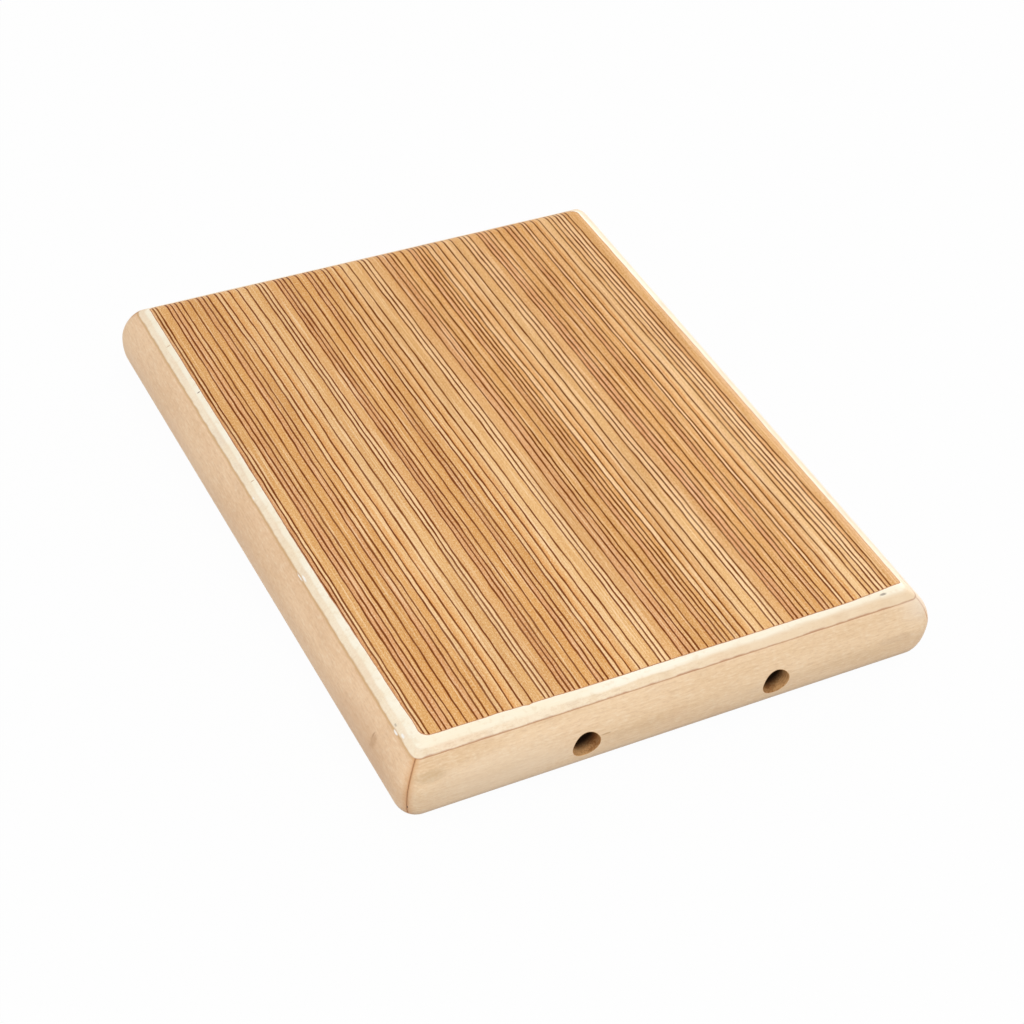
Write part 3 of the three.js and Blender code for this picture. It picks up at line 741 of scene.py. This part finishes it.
def plate_mesh(name, rings, looks, ring_looks, cap_looks=(0, 0)):
    """A closed body from rings, with a flat face inside the first and the last."""
    count = len(stations)
    points, faces = lidded([point for ring in rings for point in ring], count)
    face_looks = [look for look in ring_looks for _ in range(count)] + list(cap_looks)
    return make_mesh(name, points, faces, looks, face_looks, sharp=20)


def all_round(value):
    return [value] * len(stations)


stations = plate_stations()
veneer_edge = [veneer_inset(station) for station in stations]
glue_edge = [inset + GLUE_RING for inset in veneer_edge]
under_veneer = [inset + UNDER_LAP for inset in veneer_edge]
under_heights = [min(GLUE_LINE, edge_height(min(inset, TOP_DEPTH)) - 0.45) for inset in under_veneer]
under_ring = plate_ring(under_veneer, under_heights)
inner_ring = plate_ring(all_round(FLAT_INSET + 2), all_round(GLUE_LINE))


CORE_MARKS = (
    ((-111.1, 81.1, 34.6), (1.0, 0.4, 1), (92, 60, 40), 0.85),
    ((-111.7, 116.5, 34.4), (1.6, 0.4, 1), (190, 146, 104), 0.6),
    ((-111.6, 18.5, 34.4), (1.5, 0.4, 1), (190, 146, 104), 0.6),
    ((100.1, -143.4, 35.1), (2.2, 0.7, 0.8), GREY_TONE, 0.8),
    ((-114.2, -42.5, 32.7), (0.8, 3.2, 0.4), CHIP_TONE, 0.95),
    ((-114.3, 10.2, 32.4), (0.6, 1.4, 0.4), CHIP_TONE, 0.9),
    ((-114.1, -129.7, 32.8), (0.6, 1.0, 0.6), GREY_TONE, 0.5),
    ((-114.0, -136.0, 32.9), (0.8, 1.8, 0.5), CHIP_TONE, 0.95),
)


def core_look():
    """Pale plywood in two plies, with the seam to the rails darker."""
    look = Look("cream plywood", Roughness=0.5, Specular_IOR_Level=0.22)
    colour, fibres = wood_colour(look, "X", (255, 249, 232), (250, 238, 212), 0.9)
    second, _ = wood_colour(look, "Y", (250, 234, 208), (240, 216, 182))
    second = figure(look, second, "X", 0.6)
    x, y, z = look.axes()
    wavy = look.add(z, look.times(look.noise((14, 14, 14), 3), 0.9))
    wavy = look.minus(wavy, look.between(x, 0, 110, 0.0, 0.35))
    blank = look.between(x, 8 - HALF_X, 14 - HALF_X, 0.4, 0.0)
    lower = look.times(look.between(wavy, BASE + 32.1, BASE + 32.7, 1.0, 0.0), look.minus(1, blank))
    colour = look.mix(lower, colour, second)
    near_edge = look.between(y, 12 - HALF_Y, 16 - HALF_Y, 1.0, 0.0)
    tanned = look.times(look.between(x, -30, 50, 0.0, 0.6), near_edge)
    tanned = look.times(tanned, look.between(wavy, BASE + 32.5, BASE + 33.1, 1.0, 0.2))
    colour = look.mix(tanned, colour, (234, 207, 172))
    colour = look.tint(colour, look.noise((2.2, 2.2, 2.2), 3), 0.5, 0.75, 0.35, (236, 212, 178))
    uneven = look.noise((6, 6, 6), 3)
    above = look.minus(z, BASE + SEAM)
    near = look.between(y, 10 - HALF_Y, 13 - HALF_Y, 1.0, 0.0)
    seam = look.between(above, 0.05, look.between(uneven, 0.3, 0.7, 0.2, 0.6), 1.0, 0.0)
    seam = look.times(seam, look.between(uneven, 0.3, 0.65, 0.35, 0.75))
    colour = look.mix(seam, colour, look.mix(near, SOFT_SEAM_TONE, SEAM_TONE))
    return look.surface(marked(look, colour, CORE_MARKS), fibres, 0.02, 0.4)


# Zebra veneer
# Places of the dark lines across the plate, read one by one, and the tone of the strip after each line

TONES = {
    "rose": ((222, 162, 112), (219, 160, 104)),
    "tan": ((227, 174, 114), (223, 168, 102)),
    "gold": ((224, 167, 98), (220, 160, 88)),
    "cream": ((247, 208, 158), (243, 202, 146)),
    "amber": ((224, 160, 90), (239, 194, 134)),
    "pale": ((242, 201, 148), (233, 187, 126)),
    "wide": ((234, 187, 126), (229, 178, 112)),
    "border": ((222, 168, 102), (220, 166, 100)),
}
LEAF_TONES = "rose rose tan gold gold rose tan gold cream amber amber pale wide cream cream tan".split()
LEAVES = (
    (-101.5, -99.4, -96.9, -94.6, -90.5, -86.3, -83.7, -81.3,
     -77.3, -75.0, -70.7, -66.7, -62.6, -57.2, -55.3, -53.3),
    (-48.3, -46.2, -44.3, -41.9, -37.8, -33.7, -31.5, -29.2,
     -24.8, -22.8, -19.1, -15.5, -11.7, -5.7, -3.5, -1.2),
    (4.3, 7.4, 10.1, 12.1, 16.0, 19.8, 22.2, 26.1,
     28.4, 30.9, 34.2, 38.1, 42.0, 47.2, 49.5, 51.8),
    (56.5, 58.5, 61.0, 63.4, 67.2, 71.5, 73.7, 76.0,
     80.1, 81.8, 85.8, 89.5, 93.8, 98.6, 100.5, 102.9),
)
OTHER_LINES = ((-109.9, "rose"), (-108.1, "cream"), (-106.4, "border"),
               (24.2, "tan"), (96.1, "pale"), (105.0, "border"))
LEAN = 0.8 / 140
LINES_A_RAMP = 9
LINE_HALF = 0.56


def zebra_lines():
    lines = list(OTHER_LINES)
    for leaf in LEAVES:
        lines += list(zip(leaf, LEAF_TONES))
    return sorted(lines)


def zebra_ramp(look, across, lines, tone_before):
    """A ramp over some lines, with the strips' colours and an alpha that peaks on each line."""
    start = lines[0][0] - 3
    end = lines[-1][0] + 3
    stops = []
    before = TONES[tone_before][1]
    for place, tone in lines:
        after = TONES[tone][0]
        for offset, colour, alpha in ((-LINE_HALF, before, 0), (0, after, 1), (LINE_HALF, after, 0)):
            stops.append(((place + offset - start) / (end - start), (*srgb(*colour)[:3], alpha)))
        before = TONES[tone][1]
    return look.ramp(look.math("DIVIDE", look.minus(across, start), end - start), stops)


def zebra_look():
    look = Look("zebra veneer", Roughness=0.45, Specular_IOR_Level=0.08)
    x, y, _ = look.axes()
    drift = look.times(look.minus(look.noise((30, 90, 400), 1), 0.5), 1.7)
    kinks = look.times(look.minus(look.noise((4, 12, 400), 3), 0.5), 0.9)
    across = look.add(look.add(x, look.times(y, LEAN)), look.add(drift, kinks))
    lines = zebra_lines()
    colour, line = None, None
    tone_before = "rose"
    for first in range(0, len(lines), LINES_A_RAMP):
        group = lines[first:first + LINES_A_RAMP]
        ramp = zebra_ramp(look, across, group, tone_before)
        if colour is None:
            colour, line = ramp
        else:
            border = (lines[first - 1][0] + group[0][0]) / 2
            later = look.math("GREATER_THAN", across, border)
            colour = look.mix(later, colour, ramp[0])
            line = look.add(look.times(line, look.minus(1, later)), look.times(ramp[1], later))
        tone_before = group[-1][1]
    zones = look.noise((13, 110, 400), 3)
    fine = look.noise((0.7, 45, 400), 3, 0.6)
    grain = look.noise((0.45, 1.0, 400), 2, 0.6)
    for row in (
        (zones, 0.42, 0.72, 0.5, (198, 142, 78)),
        (y, -60, 150, 0.3, (206, 146, 76)),
        # Pale fibre streaks: partly the wood's own figure and partly a painted sheen.
        (fine, 0.5, 0.72, 0.66, (255, 222, 178)),
        (fine, 0.5, 0.25, 0.5, (200, 138, 82)),
        (grain, 0.45, 0.72, 0.42, (255, 226, 184)),
        (grain, 0.52, 0.25, 0.42, (184, 122, 66)),
    ):
        colour = look.tint(colour, *row)
    edge = look.between(look.noise((7, 16, 400)), 0.25, 0.75, 0.28, 0.02)
    shape = look.between(look.minus(line, edge), -0.03, 0.34)
    strength = look.times(shape, look.between(look.noise((12, 30, 400)), 0.3, 0.6, 0.88, 1.0))
    dark = look.mix(fine, (102, 42, 0), (136, 71, 8))
    return look.surface(look.mix(strength, colour, dark), look.minus(fine, look.times(shape, 0.4)), 0.02, 0.4)


core_looks = [core_look(), simple_wood("bare inner ply", "Y", (234, 208, 168), (206, 174, 130), 0.75, 0.7)]
core_rings = [plate_ring(all_round(edge_inset(SEAM)), all_round(SEAM))]
core_rings += surface_rings(CORE_STEPS, all_round(edge_inset(SEAM)), veneer_edge)
core_rings += [under_ring, inner_ring]
core = plate_mesh("playing_plate_core", core_rings, core_looks, [0] * (len(core_rings) - 1), (1, 0))
soften(show(core.name, core, "cream_ply", ["tapa_core"]), 0.06, angle=50)

glue_look = simple_wood("glue line at the veneer's edge", "Y", (204, 150, 112), (176, 120, 84))
veneer_rings = [inner_ring, under_ring, plate_ring(veneer_edge), plate_ring(glue_edge)]
veneer_rings += surface_rings(VENEER_STEPS, glue_edge, all_round(FLAT_INSET))
veneer_looks = [0, 0, 1] + [0] * (len(veneer_rings) - 4)
veneer = plate_mesh("playing_plate_veneer", veneer_rings, [zebra_look(), glue_look], veneer_looks)
show(veneer.name, veneer, "zebra_veneer", ["tapa_veneer"])


# Back panel

HOLE_RADIUS = 37.5
PANEL_CORNER = 1.5
SCREW_HEAD = 2.8
SCREW_SHANK = 1.5
SCREW_LENGTH = 12
HOLE_EASE = 0.6
panel_screw_places = [node_middle(f"panel_screw_{number}") for number in range(1, 13)]


def slab(half_x, half_y, corner, low, high, edge, steps=6):
    """A flat plate with rounded corners and eased edges."""
    points = []
    ends = [(edge, 0), (edge * 0.3, edge * 0.3), (0, edge)]
    levels = [(inset, low + rise) for inset, rise in ends]
    levels += [(inset, high - rise) for inset, rise in ends[::-1]]
    for inset, z in levels:
        for quarter in range(4):
            for i in range(steps + 1):
                point = outline_point(half_x - inset, half_y - inset, corner - inset, quarter, i / steps)
                points.append((point.x, point.y, z))
    return lidded(points, 4 * (steps + 1))


def ply_edge_look():
    """The cut edge of plywood: three plies, the middle one across the grain."""
    look = Look("plywood edge", Roughness=0.7, Specular_IOR_Level=0.2)
    pale, fibres = wood_colour(look, "Y", (226, 196, 152), (196, 160, 112))
    dark, _ = wood_colour(look, "Z", (196, 154, 106), (160, 118, 74))
    wavy = look.add(look.minus(look.axes()[2], PANEL_LOW.z), look.times(look.noise((9, 9, 9)), 0.2))
    middle = look.math("LESS_THAN", look.math("ABSOLUTE", look.minus(wavy, 1.6)), 0.5)
    return look.surface(look.mix(middle, pale, dark), fibres, 0.04, 0.5)


def birch_look():
    """Rotary-cut birch: flowing bands, fine fibres and short dark flecks."""
    look = Look("birch plywood", Roughness=0.6, Specular_IOR_Level=0.25)
    sway = look.times(look.noise((60, 120, 60)), 27)
    phase = look.times(look.add(look.axes()[0], sway), 0.9)
    bands = look.math("SINE", look.add(phase, look.times(look.noise((9, 70, 9), 3), 6)))
    fibres = look.noise((0.5, 26, 0.5), 3, 0.6)
    colour = look.mix(look.between(bands, -1, 1, 0.25, 0.6), (233, 206, 164), (214, 181, 134))
    colour = look.tint(colour, fibres, 0.35, 0.75, 0.5, (200, 164, 116))
    colour = look.tint(colour, look.noise((0.3, 3.4, 0.3), 1), 0.7, 0.78, 0.45, (164, 124, 80))
    return look.surface(colour, fibres, 0.03, 0.5)


panel_look = birch_look()
low, high = PANEL_LOW.z, PANEL_HIGH.z
board = slab(PANEL_HIGH.x, PANEL_HIGH.y, PANEL_CORNER, low, high, 0.25)
sound_hole = turned([
    (HOLE_RADIUS + 2 * HOLE_EASE, low - HOLE_EASE), (HOLE_RADIUS, low + HOLE_EASE),
    (HOLE_RADIUS, high - HOLE_EASE / 2), (HOLE_RADIUS + HOLE_EASE, high + HOLE_EASE / 2)], 128)
sink = turned([
    (SCREW_HEAD + 1.3, low - 1), (SCREW_HEAD + 0.3, low),
    (SCREW_SHANK + 0.2, low + 1.4), (SCREW_SHANK + 0.2, high + 1)], 32)
sinks = joined([moved(sink, Matrix.Translation((middle.x, middle.y, 0))) for middle in panel_screw_places])
panel = cut(make_mesh("back_panel_board", *board, [panel_look, ply_edge_look()]),
            [make_mesh("hole", *sound_hole, [panel_look]), make_mesh("sinks", *sinks, [panel_look])])
panel.name = "back_panel_board"
for polygon in panel.polygons:
    polygon.material_index = 1 if abs(polygon.normal.z) < 0.6 else 0
show(panel.name, smooth(panel, 30), "back_ply", ["back_panel"])


# Screws


def metal_look(name, tone, roughness):
    """Metal with fine scratches along Y and a mottled finish."""
    look = Look(name, Metallic=1.0)
    pale = srgb(*tone)
    dark = [value * 0.72 for value in pale[:3]] + [1.0]
    fine = look.noise(along_axis("Y", 6, 0.12, 0.12))
    look.set("Roughness", look.between(fine, 0.2, 0.8, roughness - 0.15, roughness + 0.15))
    colour = look.tint(pale, look.noise((1.6, 1.6, 1.6), 3), 0.3, 0.75, 0.45, dark)
    return look.surface(colour, fine, 0.008, 0.4)


zinc_look = metal_look("zinc plate", (198, 200, 204), 0.36)
black_look = metal_look("black oxide", (46, 46, 50), 0.45)
string_look = metal_look("drawn wire", (206, 196, 178), 0.3)
brass_look = metal_look("brass ball end", (206, 168, 96), 0.35)


def thread_shape(first, last, pitch, depth):
    """A radius that follows a screw thread between two places."""
    def shape(radius, place, turn):
        if not first <= place <= last:
            return radius
        phase = (place / pitch - turn / (2 * math.pi)) % 1
        return radius - depth * (1 - abs(2 * phase - 1))
    return shape


def cross_cutter(span, width, depth, place):
    """A cross recess that opens at a place and narrows towards +Z."""
    arms = []
    for degrees in (0, 90):
        points = []
        for z, share in ((place - 0.5, 1.15), (place, 1.0), (place + depth, 0.35)):
            for sx, sy in ((-1, -1), (1, -1), (1, 1), (-1, 1)):
                points.append((sx * span * share / 2, sy * width * (0.6 + 0.4 * share) / 2, z))
        arms.append(make_mesh("arm", *moved(lidded(points, 4), rotation("Z", degrees)), []))
    return arms


def screw_mesh(name, head, shank, tip, pitch, look, recess):
    """A wood screw whose head is at the low end of Z."""
    start = head[-1][1]
    straight = SCREW_LENGTH - tip - start
    steps = int(straight * 5 / pitch)
    profile = head + [(shank, start + straight * i / steps) for i in range(1, steps + 1)]
    profile += [(shank * (1 - i / 8), SCREW_LENGTH - tip + tip * i / 8) for i in range(1, 8)]
    profile += [(0.05, SCREW_LENGTH)]
    thread = thread_shape(start + 1, SCREW_LENGTH - 0.6, pitch, 0.35)
    mesh = cut(make_mesh(name, *turned(profile, 32, thread), [look]), cross_cutter(*recess))
    mesh.name = name
    return smooth(mesh, 35)


flat_head = [(SCREW_HEAD - 0.25, 0), (SCREW_HEAD - 0.06, 0.06), (SCREW_HEAD, 0.22), (SCREW_SHANK, 1.5)]
panel_screw = screw_mesh(
    "panel_screw_mesh", flat_head, SCREW_SHANK, 3, 1.2, black_look, (3.0, 0.75, 1.3, 0))
for number, middle in enumerate(panel_screw_places, 1):
    place = at(middle.x, middle.y, PANEL_LOW.z + 0.05) @ rotation("Z", 37 * number)
    show(f"panel_screw_body_{number}", panel_screw, "black_steel", [f"panel_screw_{number}"], place=place)

pan_head = [(1.2, -1.9), (1.75, -1.82), (2.35, -1.5), (2.7, -0.95), (2.75, -0.5), (2.75, -0.1), (2.65, 0),
            (1.6, 0)]
pan_screw = screw_mesh("pan_screw_mesh", pan_head, 1.6, 3, 1.3, zinc_look, (2.9, 0.75, 1.3, -1.9))
for prefix, tilt in (("tuner_bracket_screw", 90), ("string_anchor_screw", -90)):
    for number in range(1, 5):
        low, high = node_box(f"{prefix}_{number}")
        middle = (low + high) / 2
        seat = low.y + SCREW_LENGTH if tilt > 0 else high.y - SCREW_LENGTH
        place = at(middle.x, seat, middle.z) @ rotation("X", tilt) @ rotation("Z", 50 * number)
        show(f"{prefix}_body_{number}", pan_screw, "zinc_steel", [f"{prefix}_{number}"], place=place)


# Rubber pads

rubber_look = Look("moulded rubber", Roughness=0.78, Specular_IOR_Level=0.3)
speck = rubber_look.noise((0.5, 0.5, 0.5), 3)
rubber_look.surface(rubber_look.mix(speck, (30, 30, 31), (52, 51, 50)), speck, 0.03, 0.6)

pad_profile = [(0.6, 0.35), (2.2, 0.35), (2.6, 0.2), (2.9, 0.02), (3.3, 0), (9.9, 0), (10.35, 0.08),
               (10.7, 0.3), (10.92, 0.62), (11, 1.0), (11, 2)]
pad = make_mesh("pad_mesh", *turned(pad_profile, 72), [rubber_look])
for end in ("front", "rear"):
    for side in ("left", "right"):
        middle = node_middle(f"foot_pad_{end}_{side}")
        show(f"foot_pad_disc_{end}_{side}", pad, "pad_rubber", [f"foot_pad_{end}_{side}"],
             place=at(middle.x, middle.y, 0))


# Tuners

HEAD_BACK = -1.3
HEAD_FRONT = HEAD_BACK - 6
SCREW_END = 40
HEX_RADIUS = 5 / math.sqrt(3)
KNURLS = 36


def tuning_screw_mesh():
    """A socket screw along +Z with a knurled head. Place 0 is the rail's inner wall."""
    head = [(4.0, HEAD_FRONT), (4.45, HEAD_FRONT), (4.8, HEAD_FRONT + 0.2), (4.95, HEAD_FRONT + 0.6),
            (5.0, HEAD_FRONT + 0.61), (5.0, HEAD_BACK - 0.91), (4.95, HEAD_BACK - 0.9),
            (4.9, HEAD_BACK - 0.2), (4.7, HEAD_BACK), (3.0, HEAD_BACK)]

    def knurl(radius, place, turn):
        return radius - 0.16 * abs(math.sin(KNURLS * turn / 2)) if radius == 5.0 else radius

    rows = int((SCREW_END - 6) * 6)
    shank = [(2.7, HEAD_BACK - 0.5), (3.0, HEAD_BACK - 0.4)]
    shank += [(3.0, 5 + i / 6) for i in range(rows)] + [(2.7, SCREW_END - 0.6), (2.35, SCREW_END)]
    socket = turned([(HEX_RADIUS + 0.25, HEAD_FRONT - 0.25), (HEX_RADIUS, HEAD_FRONT + 0.05),
                     (HEX_RADIUS, HEAD_FRONT + 3), (0.4, HEAD_FRONT + 4)], 6)
    head_mesh = make_mesh("head", *turned(head, 4 * KNURLS, knurl), [black_look])
    whole = bmesh.new()
    whole.from_mesh(cut(head_mesh, [make_mesh("socket", *socket, [black_look])]))
    thread = thread_shape(5, SCREW_END - 0.8, 1.0, 0.5)
    whole.from_mesh(make_mesh("shank", *turned(shank, 36, thread), [black_look]))
    mesh = bpy.data.meshes.new("tuning_screw_mesh")
    mesh.materials.append(black_look.material)
    whole.to_mesh(mesh)
    whole.free()
    return smooth(mesh, 30)


def ring_mesh(name, outer, inner, start, thickness, gap=0.0):
    """A flat ring round Z with eased edges. An open clip has a gap in degrees."""
    ease = 0.12
    end = start + thickness
    section = [(inner + ease, start), (outer - ease, start), (outer, start + ease), (outer, end - ease),
               (outer - ease, end), (inner + ease, end), (inner, end - ease), (inner, start + ease)]
    steps = 72
    span = math.radians(360 - gap)
    turns = [span * i / steps + math.radians(gap) / 2 for i in range(steps + (1 if gap else 0))]
    points = [(r * math.cos(turn), r * math.sin(turn), z) for turn in turns for r, z in section]
    count = len(section)
    if gap:
        return make_mesh(name, *lidded(points, count), [zinc_look])
    faces = [tuple(i % len(points) for i in face) for face in ring_faces(count, steps + 1)]
    return make_mesh(name, points, faces, [zinc_look])


screw = tuning_screw_mesh()
washer = ring_mesh("washer_mesh", 5.5, 3.3, -1, 1)
clip = ring_mesh("clip_mesh", 4.6, 3.05, 1.8, 0.8, gap=46)
for side, x in (("left", -KEY_HOLE_X), ("right", KEY_HOLE_X)):
    for name, mesh, slot, node, body in (
        ("tuning_screw_threaded", screw, "black_steel", "tuning_screw", f"{side}_tuning_screw"),
        ("thrust_washer_round", washer, "zinc_steel", "thrust_washer", "drum"),
        ("retaining_clip", clip, "zinc_steel", "retaining_ring", f"{side}_tuning_screw"),
    ):
        place = at(x, -CAVITY_Y, BASE + KEY_HOLE_H) @ rotation("X", -90)
        show(f"{name}_{side}", mesh, slot, [f"{node}_{side}"], body, place)


# CAD pieces that keep their shape


def dress(name, look, width, segments=2, angle=40):
    """A material and soft edges for the visible CAD pieces whose names start like this."""
    for node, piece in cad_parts.items():
        if node.startswith(name) and not piece.hide_render:
            piece.data.materials.clear()
            piece.data.materials.append(look.material)
            soften(piece, width, segments, angle)


for name in ("tuner_bracket", "string_carriage", "string_anchor"):
    dress(name, zinc_look, 0.2)
BEECH_TONES = (222, 184, 140), (190, 146, 100)
dress("string_bridge", simple_wood("beech along X", "X", *BEECH_TONES, 0.65), 0.3, angle=60)
dress("corner_block", simple_wood("beech along Z", "Z", *BEECH_TONES, 0.65), 0.6, 3)


# Snare strings

STRING_RADIUS = 0.3
BALL_RADIUS = 1.6
STRING_STEPS = 160
WRAP_LENGTH = 9
WRAP_TURNS = 8
WRAP_STEPS = 16
WRAP_RADIUS = 0.42
WRAP_WIRE = 0.14
crests = [node_middle(f"string_bridge_{end}").y for end in ("front", "rear")]


def string_path(x, ball, ferrule, end_z, top_z):
    """The wire's middle from ball end to ferrule, over both bridges."""
    path = []
    for i in range(STRING_STEPS + 1):
        y = ball + (ferrule - ball) * i / STRING_STEPS
        share = min(1.0, (y - ball) / (crests[0] - ball), (ferrule - y) / (ferrule - crests[1]))
        path.append((x, y, end_z + (top_z - end_z) * share))
    return path


def string_piece(side, number):
    node = f"snare_string_{side}_{number}"
    low, high = node_box(node)
    x = (low.x + high.x) / 2
    ball = low.y + BALL_RADIUS
    ferrule = high.y - 2
    end_z = low.z + BALL_RADIUS
    top_z = high.z - STRING_RADIUS
    wire = tube(string_path(x, ball, ferrule, end_z, top_z), STRING_RADIUS, 8)
    slope = (top_z - end_z) / (crests[0] - ball)
    wrap_path = []
    for i in range(WRAP_TURNS * WRAP_STEPS + 1):
        turn = 2 * math.pi * i / WRAP_STEPS
        y = ball + 1.6 + WRAP_LENGTH * i / (WRAP_TURNS * WRAP_STEPS)
        centre = end_z + slope * (y - ball)
        wrap_path.append((x + WRAP_RADIUS * math.cos(turn), y, centre + WRAP_RADIUS * math.sin(turn)))
    wrap = tube(wrap_path, WRAP_WIRE, 6)
    barrel = turned([(1.0, -1.8), (1.45, -1.8), (1.6, -1.65), (1.6, -1.1), (1.3, -0.8), (1.3, 0.8),
                     (1.6, 1.1), (1.6, 1.65), (1.45, 1.8), (1.0, 1.8)], 32)
    across = Matrix.Translation((x, ball, end_z)) @ rotation("Y", 90)
    sleeve = turned([(0.7, -2), (1.15, -2), (1.3, -1.85), (1.3, 1.85), (1.15, 2), (0.7, 2)], 32)
    lengthwise = Matrix.Translation((x, ferrule, end_z)) @ rotation("X", -90)
    points, faces = joined([wire, wrap, moved(barrel, across), moved(sleeve, lengthwise)])
    steel_faces = len(wire[1]) + len(wrap[1])
    face_looks = [0 if i < steel_faces else 1 for i in range(len(faces))]
    mesh = make_mesh(f"wound_{node}", points, faces, [string_look, brass_look], face_looks)
    piece = link(bpy.data.objects.new(mesh.name, mesh))
    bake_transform(piece)
    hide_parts(node)


for side in ("left", "right"):
    for number in range(1, 5):
        string_piece(side, number)


# Floor, light and camera

scene = bpy.context.scene
scene.view_settings.view_transform = "Standard"


def white_to_the_eye(tree, lit, kind, level, output):
    """White at a level for the camera and for rays sent on by metal or glass, and lit for others."""
    nodes = Nodes(tree)
    path = nodes.node("ShaderNodeLightPath").outputs
    seen = path["Is Camera Ray"]
    for name in ("Is Glossy Ray", "Is Transmission Ray"):
        seen = nodes.math("MAXIMUM", seen, path[name])
    white = nodes.node(kind)
    white.inputs["Color"].default_value = (1, 1, 1, 1)
    choice = nodes.node("ShaderNodeMixShader")
    for socket, value in zip(choice.inputs, (nodes.times(seen, level), lit.outputs[0], white.outputs[0])):
        nodes.feed(socket, value)
    nodes.feed(tree.nodes[output].inputs["Surface"], choice.outputs[0])


WORLD_LEVEL = 0.7
FLOOR_GLOW = 0.97
FLOOR_GREY = 0.68

world = bpy.data.worlds.new("studio")
scene.world = world
world.use_nodes = True
soft = world.node_tree.nodes["Background"]
soft.inputs["Color"].default_value = (1, 0.99, 0.975, 1)
soft.inputs["Strength"].default_value = WORLD_LEVEL
white_to_the_eye(world.node_tree, soft, "ShaderNodeBackground", 1.0, "World Output")

floor_material = bpy.data.materials.new("pale floor")
floor_material.use_nodes = True
tree = floor_material.node_tree
tree.nodes.remove(tree.nodes["Principled BSDF"])
paint = tree.nodes.new("ShaderNodeBsdfDiffuse")
paint.inputs["Color"].default_value = (FLOOR_GREY, FLOOR_GREY, FLOOR_GREY, 1)
white_to_the_eye(tree, paint, "ShaderNodeEmission", FLOOR_GLOW, "Material Output")

FAR = 4000
FLOOR_Z = -0.1
floor_corners = [(x, y, FLOOR_Z) for x, y in ((-FAR, -FAR), (FAR, -FAR), (FAR, FAR), (-FAR, FAR))]
floor_mesh = make_mesh("floor", floor_corners, [(0, 1, 2, 3)], [])
floor_mesh.materials.append(floor_material)
floor = link(bpy.data.objects.new("floor", floor_mesh))


def lamp(name, place, size, power, tone):
    """A square lamp that looks at the drum's middle. Place and size are in metres."""
    light = bpy.data.lights.new(name, "AREA")
    light.size = size
    light.energy = power
    light.color = tone
    piece = link(bpy.data.objects.new(name, light))
    piece.location = place
    piece.rotation_euler = (Vector((0, 0, 0.02)) - Vector(place)).to_track_quat("-Z", "Y").to_euler()


lamp("key", (0, -0.75, 1.2), 1.0, 5.2, (1, 0.985, 0.96))
lamp("side", (1.7, 1.0, 0.5), 1.0, 17, (1, 1, 1))
lamp("fill", (-1.5, -0.3, 1.0), 1.2, 4, (1, 0.97, 0.95))

# In metres and degrees, fitted to the outlines, seams and key holes in the photograph
CAMERA_PLACE = (-0.4012, -0.6772, 0.6996)
AZIMUTH = -30.978
ELEVATION = 41.836
ROLL = 5.9546

camera_data = bpy.data.cameras.new("camera")
camera_data.sensor_width = 36
camera_data.lens = 83.65
camera_data.clip_start = 0.01
camera = link(bpy.data.objects.new("camera", camera_data))
aim = rotation("Z", AZIMUTH) @ rotation("X", 90 - ELEVATION) @ rotation("Z", ROLL)
camera.matrix_world = Matrix.Translation(CAMERA_PLACE) @ aim
scene.camera = camera
